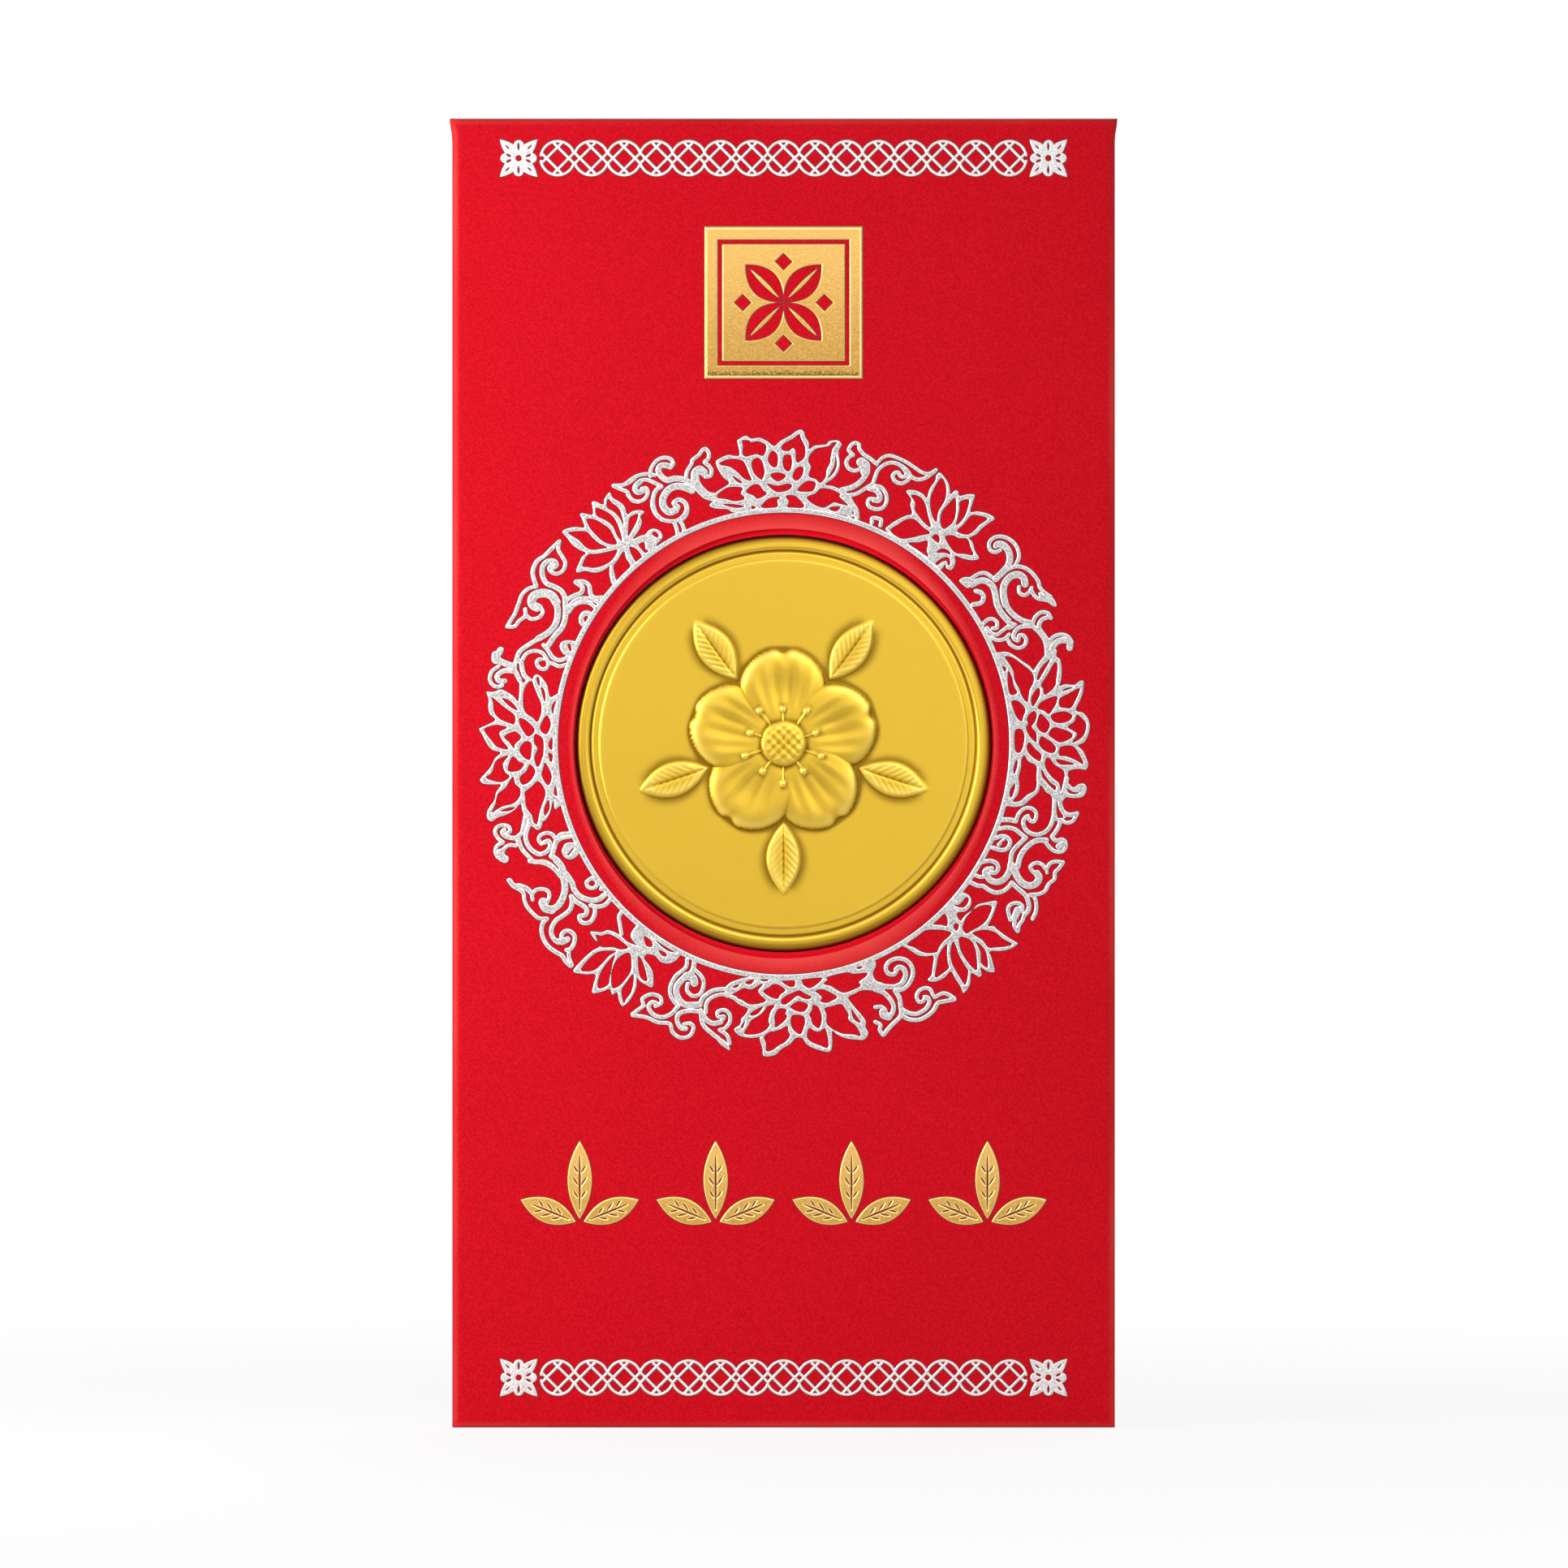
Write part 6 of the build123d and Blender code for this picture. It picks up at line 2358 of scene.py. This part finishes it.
@dataclass
class Coin:
    """Struck coin: rim, groove, flat ring, and a blossom with leaves in relief on its field."""

    layout: Layout
    palette: Palette
    leaf: LeafRelief = LeafRelief()
    petal: PetalRelief = PetalRelief()
    stamen: StamenRelief = StamenRelief()
    petals: int = 5
    stamens: int = 10
    heart_radius: float = 2.7
    heart_rise: float = 0.8
    heart_power: int = 4
    heart_drop: float = 0.05
    seed_rise: float = 0.05
    seed_rate: float = 5.2
    seed_share: float = 0.85
    columns: int = 540
    field_rows: int = 126
    rim_rows: int = 48
    field_level: float = 1.75
    shoulder: float = 23.8
    shoulder_shade: float = 1.1
    groove: float = 23.52
    groove_width: float = 0.16
    cavity_depth: float = 0.09
    cavity_columns: int = 8
    cavity_rows: int = 4
    cavity_stride: int = 2
    back: Curve = ((1.0, 0.5), (1.0, 0.12), (0.995, 0.0), (0.5, 0.0), (0.0, 0.0))
    rim: Curve = (
        (0.0, 1.75), (22.45, 1.75), (22.62, 1.66), (23.25, 1.65), (23.42, 1.60), (23.55, 1.55), (23.7, 1.72),
        (23.85, 1.86), (24.1, 1.93), (24.5, 1.91), (24.85, 1.84), (25.1, 1.73), (25.28, 1.58), (25.4, 1.4),
    )

    @staticmethod
    def axes(x: np.ndarray, z: np.ndarray, degrees: float) -> tuple[np.ndarray, np.ndarray]:
        """Distances along and across a direction from the coin's centre.

        Args:
            x: Distance to the right.
            z: Distance upwards.
            degrees: Angle of the direction from the right.

        Returns:
            Distance along the direction, and to its left.
        """
        c, s = math.cos(math.radians(degrees)), math.sin(math.radians(degrees))
        return x * c + z * s, -x * s + z * c

    def relief(self, x: np.ndarray, z: np.ndarray) -> np.ndarray:
        """Height of the blossom and leaves over the field.

        The greatest height of leaves and petals wins. The stamens stand on it, and the heart covers all.

        Args:
            x: Distance to the right of the coin's centre.
            z: Distance above the coin's centre.

        Returns:
            Heights of the same shape, in millimetres.
        """
        height = np.zeros_like(x)
        apart = FULL_TURN / self.petals
        for k in range(self.petals):
            height = np.maximum(height, self.leaf.height(*self.axes(x, z, QUARTER_TURN + apart * (k - 0.5))))
        for k in range(self.petals):
            height = np.maximum(height, self.petal.height(*self.axes(x, z, QUARTER_TURN + apart * k)))
        apart = FULL_TURN / self.stamens
        for k in range(self.stamens):
            u, v = self.axes(x, z, apart * (k + 0.5))
            height = height + self.stamen.height(u, v, self.stamen.lengths[k % 2])
        radius = np.hypot(x, z)
        dome = np.sqrt(np.clip(1 - (radius / self.heart_radius) ** self.heart_power, 0, 1))
        heart = self.petal.rise + (self.heart_rise - self.petal.rise) * dome - self.heart_drop
        seeds = self.seed_rise * np.cos(x * self.seed_rate) * np.cos(z * self.seed_rate)
        heart = heart + seeds * (radius < self.heart_radius * self.seed_share)
        return np.where(radius < self.heart_radius, np.maximum(heart, height), height)

    def build(self) -> list[bpy.types.Object]:
        """Makes the coin as rows of points round its axis, closed over its edge and back.

        Returns:
            The piece, in a list.
        """
        lay = self.layout
        field_edge = self.rim[1][0]
        field_radii = np.linspace(0, field_edge, self.field_rows)[:-1]
        radii = np.concatenate([field_radii, np.linspace(field_edge, lay.coin_radius, self.rim_rows)])
        angle = np.linspace(0, 2 * math.pi, self.columns, endpoint=False)
        r, turn = np.meshgrid(radii, angle, indexing="ij")
        rim = np.array(self.rim)
        level = np.interp(r, rim[:, 0], rim[:, 1]) + self.relief(r * np.cos(turn), r * np.sin(turn))
        level = np.minimum(level, self.field_level + self.heart_rise)
        # Painted shade and highlight by the relief, with painted shade on the outer shoulder and in the
        # groove.
        tone = self.painted_shading(level) - self.shoulder_shade * smoothstep(self.shoulder, lay.coin_radius, r)
        tone = tone - np.exp(-(((r - self.groove) / self.groove_width) ** 2))
        back = np.array(self.back) * (lay.coin_radius, 1.0)
        r = np.vstack([r, np.repeat(back[:, :1], self.columns, 1)])
        level = np.vstack([level, np.repeat(back[:, 1:], self.columns, 1)])
        tone = np.vstack([tone, np.zeros((len(back), self.columns))])
        rows = np.stack([r * np.cos(angle), lay.coin_back - level, r * np.sin(angle) + lay.window_height], -1)
        points, faces, kept = closed_rings(rows)
        gold = self.palette[Slot.COIN]
        shade_attribute = {"painted_shading": tone.ravel()[kept]}
        return [make_piece("struck_coin", points, faces, gold, ["coin"], Body.COIN, shade_attribute)]

    def painted_shading(self, level: np.ndarray) -> np.ndarray:
        """Height over the mean of the points round it, which sets the painted shade in hollows and the
        painted highlight on crests.

        Args:
            level: Heights, of shape (rows, columns).

        Returns:
            Values of the same shape, from -1 in a hollow to 1 on a crest.
        """
        shifts = range(-self.cavity_columns, self.cavity_columns + 1, self.cavity_stride)
        mean = np.mean([np.roll(level, shift, 1) for shift in shifts], 0)
        padded = np.pad(mean, ((self.cavity_rows, self.cavity_rows), (0, 0)), mode="edge")
        starts = range(0, 2 * self.cavity_rows + 1, self.cavity_stride)
        mean = np.mean([padded[k : k + len(level)] for k in starts], 0)
        return np.clip((level - mean) / self.cavity_depth, -1, 1)


@dataclass
class CardBody:
    """Folded card behind the front: walls, glue flaps and back panel."""

    palette: Palette
    folds: Sequence[str] = (
        "left_wall",
        "right_wall",
        "bottom_wall",
        "back_panel",
        "left_glue_flap",
        "right_glue_flap",
    )

    def build(self) -> list[bpy.types.Object]:
        """Gives the carried-over card its finish.

        Returns:
            The dressed solids.
        """
        return [self.palette.dress(node, Slot.CARD) for node in self.folds]


@dataclass
class Insert:
    """Board that holds the coin, with its backing, tape and foam pad."""

    palette: Palette
    pad_fill: float = 0.8
    pad_columns: int = 96
    pad_rows: int = 15
    pad_power: int = 8
    pad_round: float = 1 / 3

    def build(self) -> list[bpy.types.Object]:
        """Dresses the carried-over layers and makes the foam pad.

        Returns:
            The dressed solids and the pad.
        """
        layers = {"coin_insert": Slot.BOARD, "insert_backing": Slot.BACKING, "insert_tape": Slot.TAPE}
        return [self.palette.dress(node, slot) for node, slot in layers.items()] + [self.pad()]

    def pad(self) -> bpy.types.Object:
        """Makes the foam pad as square rings that close in the middle of both faces.

        A ring's size is a share of the pad's, and its depth from the middle is half the thickness times
        the cube root of one less the eighth power of that share.

        Returns:
            The new object.
        """
        low, high = solid_box("coin_foam_pad")
        half, middle = (high - low) / 2, (high + low) / 2
        swing = np.linspace(-1, 1, 2 * self.pad_rows - 1)
        share = 1 - np.abs(swing) ** 2
        depth = np.sign(swing) * (1 - share**self.pad_power) ** self.pad_round
        square = circle(1.0, self.pad_columns)
        square = square / np.abs(square).max(-1, keepdims=True)
        x, z = (share[:, None] * square[:, k] * half[2 * k] + middle[2 * k] for k in range(2))
        y = np.broadcast_to((middle[1] + depth * half[1])[:, None], x.shape)
        points, faces, _ = closed_rings(np.stack([x, y, z], -1))
        foam = self.palette[Slot.FOAM]
        pad = make_piece("foam_pad", points, faces, foam, ["coin_foam_pad"], Body.ENVELOPE)
        return pad


@dataclass(frozen=True)
class Lamp:
    """Square area lamp that faces a point, with lengths in millimetres and its power in watts."""

    name: str
    place: Spot
    aim: Spot
    size: float
    power: float
    colour: Colour

    def build(self) -> None:
        """Adds the lamp, unseen by the camera."""
        data = bpy.data.lights.new(self.name, "AREA")
        data.size = self.size * MM
        data.energy = self.power
        data.color = self.colour
        lamp = bpy.data.objects.new(self.name, data)
        lamp.visible_camera = False
        lamp.location = np.array(self.place) * MM
        away = np.array(self.place, float) - np.array(self.aim, float)
        flat = math.hypot(away[0], away[1])
        lamp.rotation_euler = (math.atan2(flat, away[2]), 0, math.atan2(away[1], away[0]) + math.pi / 2)
        bpy.context.scene.collection.objects.link(lamp)


@dataclass
class Stage:
    """Pale floor, soft studio light and a camera straight in front.

    The view is in millimetres; the floor, its fade and the clipping distances are in metres.
    """

    layout: Layout
    view_width: float = 191.52
    view_centre: Point = (0.05, 78.66)
    distance: float = 1200.0
    sensor: float = 36.0
    clip: Point = (0.01, 20.0)
    lamps: Sequence[Lamp] = (
        Lamp("key", place=(-170, -120, 130), aim=(0, 0, 85), size=120, power=0.36, colour=(1.0, 0.98, 0.96)),
        Lamp("fill", place=(300, -800, 420), aim=(0, 0, 80), size=700, power=2.6, colour=(0.98, 0.99, 1.0)),
        Lamp("rear", place=(250, 700, 500), aim=(0, 0, 80), size=700, power=4.0, colour=(1.0, 1.0, 1.0)),
    )
    soft_level: float = 0.24
    glow_lean: float = -0.55
    glow_range: Point = (-0.7, 0.5)
    glow_levels: Point = (0.16, 0.92)
    floor_half: float = 4.0
    floor_grey: float = 0.9
    fade_range: Point = (0.05, 0.3)
    fade_shares: Point = (0.85, 1.0)

    def build(self) -> None:
        """Makes the camera, the lights, the world and the floor."""
        self.camera()
        for lamp in self.lamps:
            lamp.build()
        self.world()
        self.floor()

    def camera(self) -> None:
        """Adds a long lens that sees the view's width at the front panel."""
        data = bpy.data.cameras.new("camera")
        data.sensor_width = self.sensor
        data.lens = self.sensor * self.distance / self.view_width
        data.clip_start, data.clip_end = self.clip
        camera = bpy.data.objects.new("camera", data)
        x, z = self.view_centre
        camera.location = (x * MM, (self.layout.face - self.distance) * MM, z * MM)
        camera.rotation_euler = (math.pi / 2, 0, 0)
        bpy.context.scene.collection.objects.link(camera)
        bpy.context.scene.camera = camera

    def world(self) -> None:
        """Makes the world white to the eye, a soft gradient in reflections and a lower level as light."""
        world = bpy.data.worlds.new("studio")
        bpy.context.scene.world = world
        world.use_nodes = True
        world.node_tree.nodes.clear()
        nodes = Nodes(world.node_tree)
        way = nodes.add("ShaderNodeSeparateXYZ", {0: nodes.add("ShaderNodeTexCoord").outputs["Generated"]})
        lean = nodes.math("MULTIPLY_ADD", way.outputs[0], self.glow_lean, way.outputs[2])
        strength = nodes.step(lean, *self.glow_range, *self.glow_levels)
        white, soft, glow = (
            nodes.add("ShaderNodeBackground", {"Color": WHITE, "Strength": level}).outputs[0]
            for level in (1.0, self.soft_level, strength)
        )
        path = nodes.add("ShaderNodeLightPath").outputs
        seen = nodes.math("MAXIMUM", path["Is Camera Ray"], path["Is Transmission Ray"])
        light = nodes.add("ShaderNodeMixShader", {0: path["Is Glossy Ray"], 1: soft, 2: glow}).outputs[0]
        both = nodes.add("ShaderNodeMixShader", {0: seen, 1: light, 2: white}).outputs[0]
        nodes.add("ShaderNodeOutputWorld", {"Surface": both})

    def floor(self) -> None:
        """Adds a pale floor that keeps a soft shadow and is white where nothing shades it."""
        mesh = bpy.data.meshes.new("floor")
        signs = ((-1, -1), (1, -1), (1, 1), (-1, 1))
        corners = [(x * self.floor_half, y * self.floor_half, 0) for x, y in signs]
        mesh.from_pydata(corners, [], [(0, 1, 2, 3)])
        made = bpy.data.materials.new("pale_floor")
        made.use_nodes = True
        made.node_tree.nodes.clear()
        nodes = Nodes(made.node_tree)
        grey = (self.floor_grey, self.floor_grey, self.floor_grey, 1.0)
        matt = nodes.add("ShaderNodeBsdfDiffuse", {"Color": grey}).outputs[0]
        glow = nodes.add("ShaderNodeEmission", {"Color": WHITE, "Strength": 1.0}).outputs[0]
        seen = nodes.add("ShaderNodeLightPath").outputs["Is Camera Ray"]
        place = nodes.add("ShaderNodeTexCoord").outputs["Object"]
        away = nodes.add("ShaderNodeVectorMath", {0: place}, operation="LENGTH").outputs["Value"]
        share = nodes.math("MULTIPLY", seen, nodes.step(away, *self.fade_range, *self.fade_shares))
        both = nodes.add("ShaderNodeMixShader", {0: share, 1: matt, 2: glow}).outputs[0]
        nodes.add("ShaderNodeOutputMaterial", {"Surface": both})
        mesh.materials.append(made)
        floor = bpy.data.objects.new("floor", mesh)
        bpy.context.scene.collection.objects.link(floor)


def main() -> None:
    """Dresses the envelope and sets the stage."""
    logging.basicConfig(level=logging.INFO)
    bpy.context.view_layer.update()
    bpy.context.scene.view_settings.view_transform = "Standard"
    layout = Layout.from_frame()
    LOG.info("layout %s", layout)
    palette = Palette()
    parts = (
        FrontSheet(layout, palette),
        Lid(palette),
        CardBody(palette),
        Insert(palette),
        Coin(layout, palette),
        Border(layout, palette, node="top_border_foil"),
        Border(layout, palette, node="bottom_border_foil"),
        Seal(layout, palette),
        Sprigs(layout, palette),
        Wreath(layout, palette),
    )
    for part in parts:
        for piece in part.build():
            LOG.info("%s: %s with %d faces", type(part).__name__, piece.name, len(piece.data.polygons))
    Stage(layout).build()


if __name__ == "__main__":
    main()
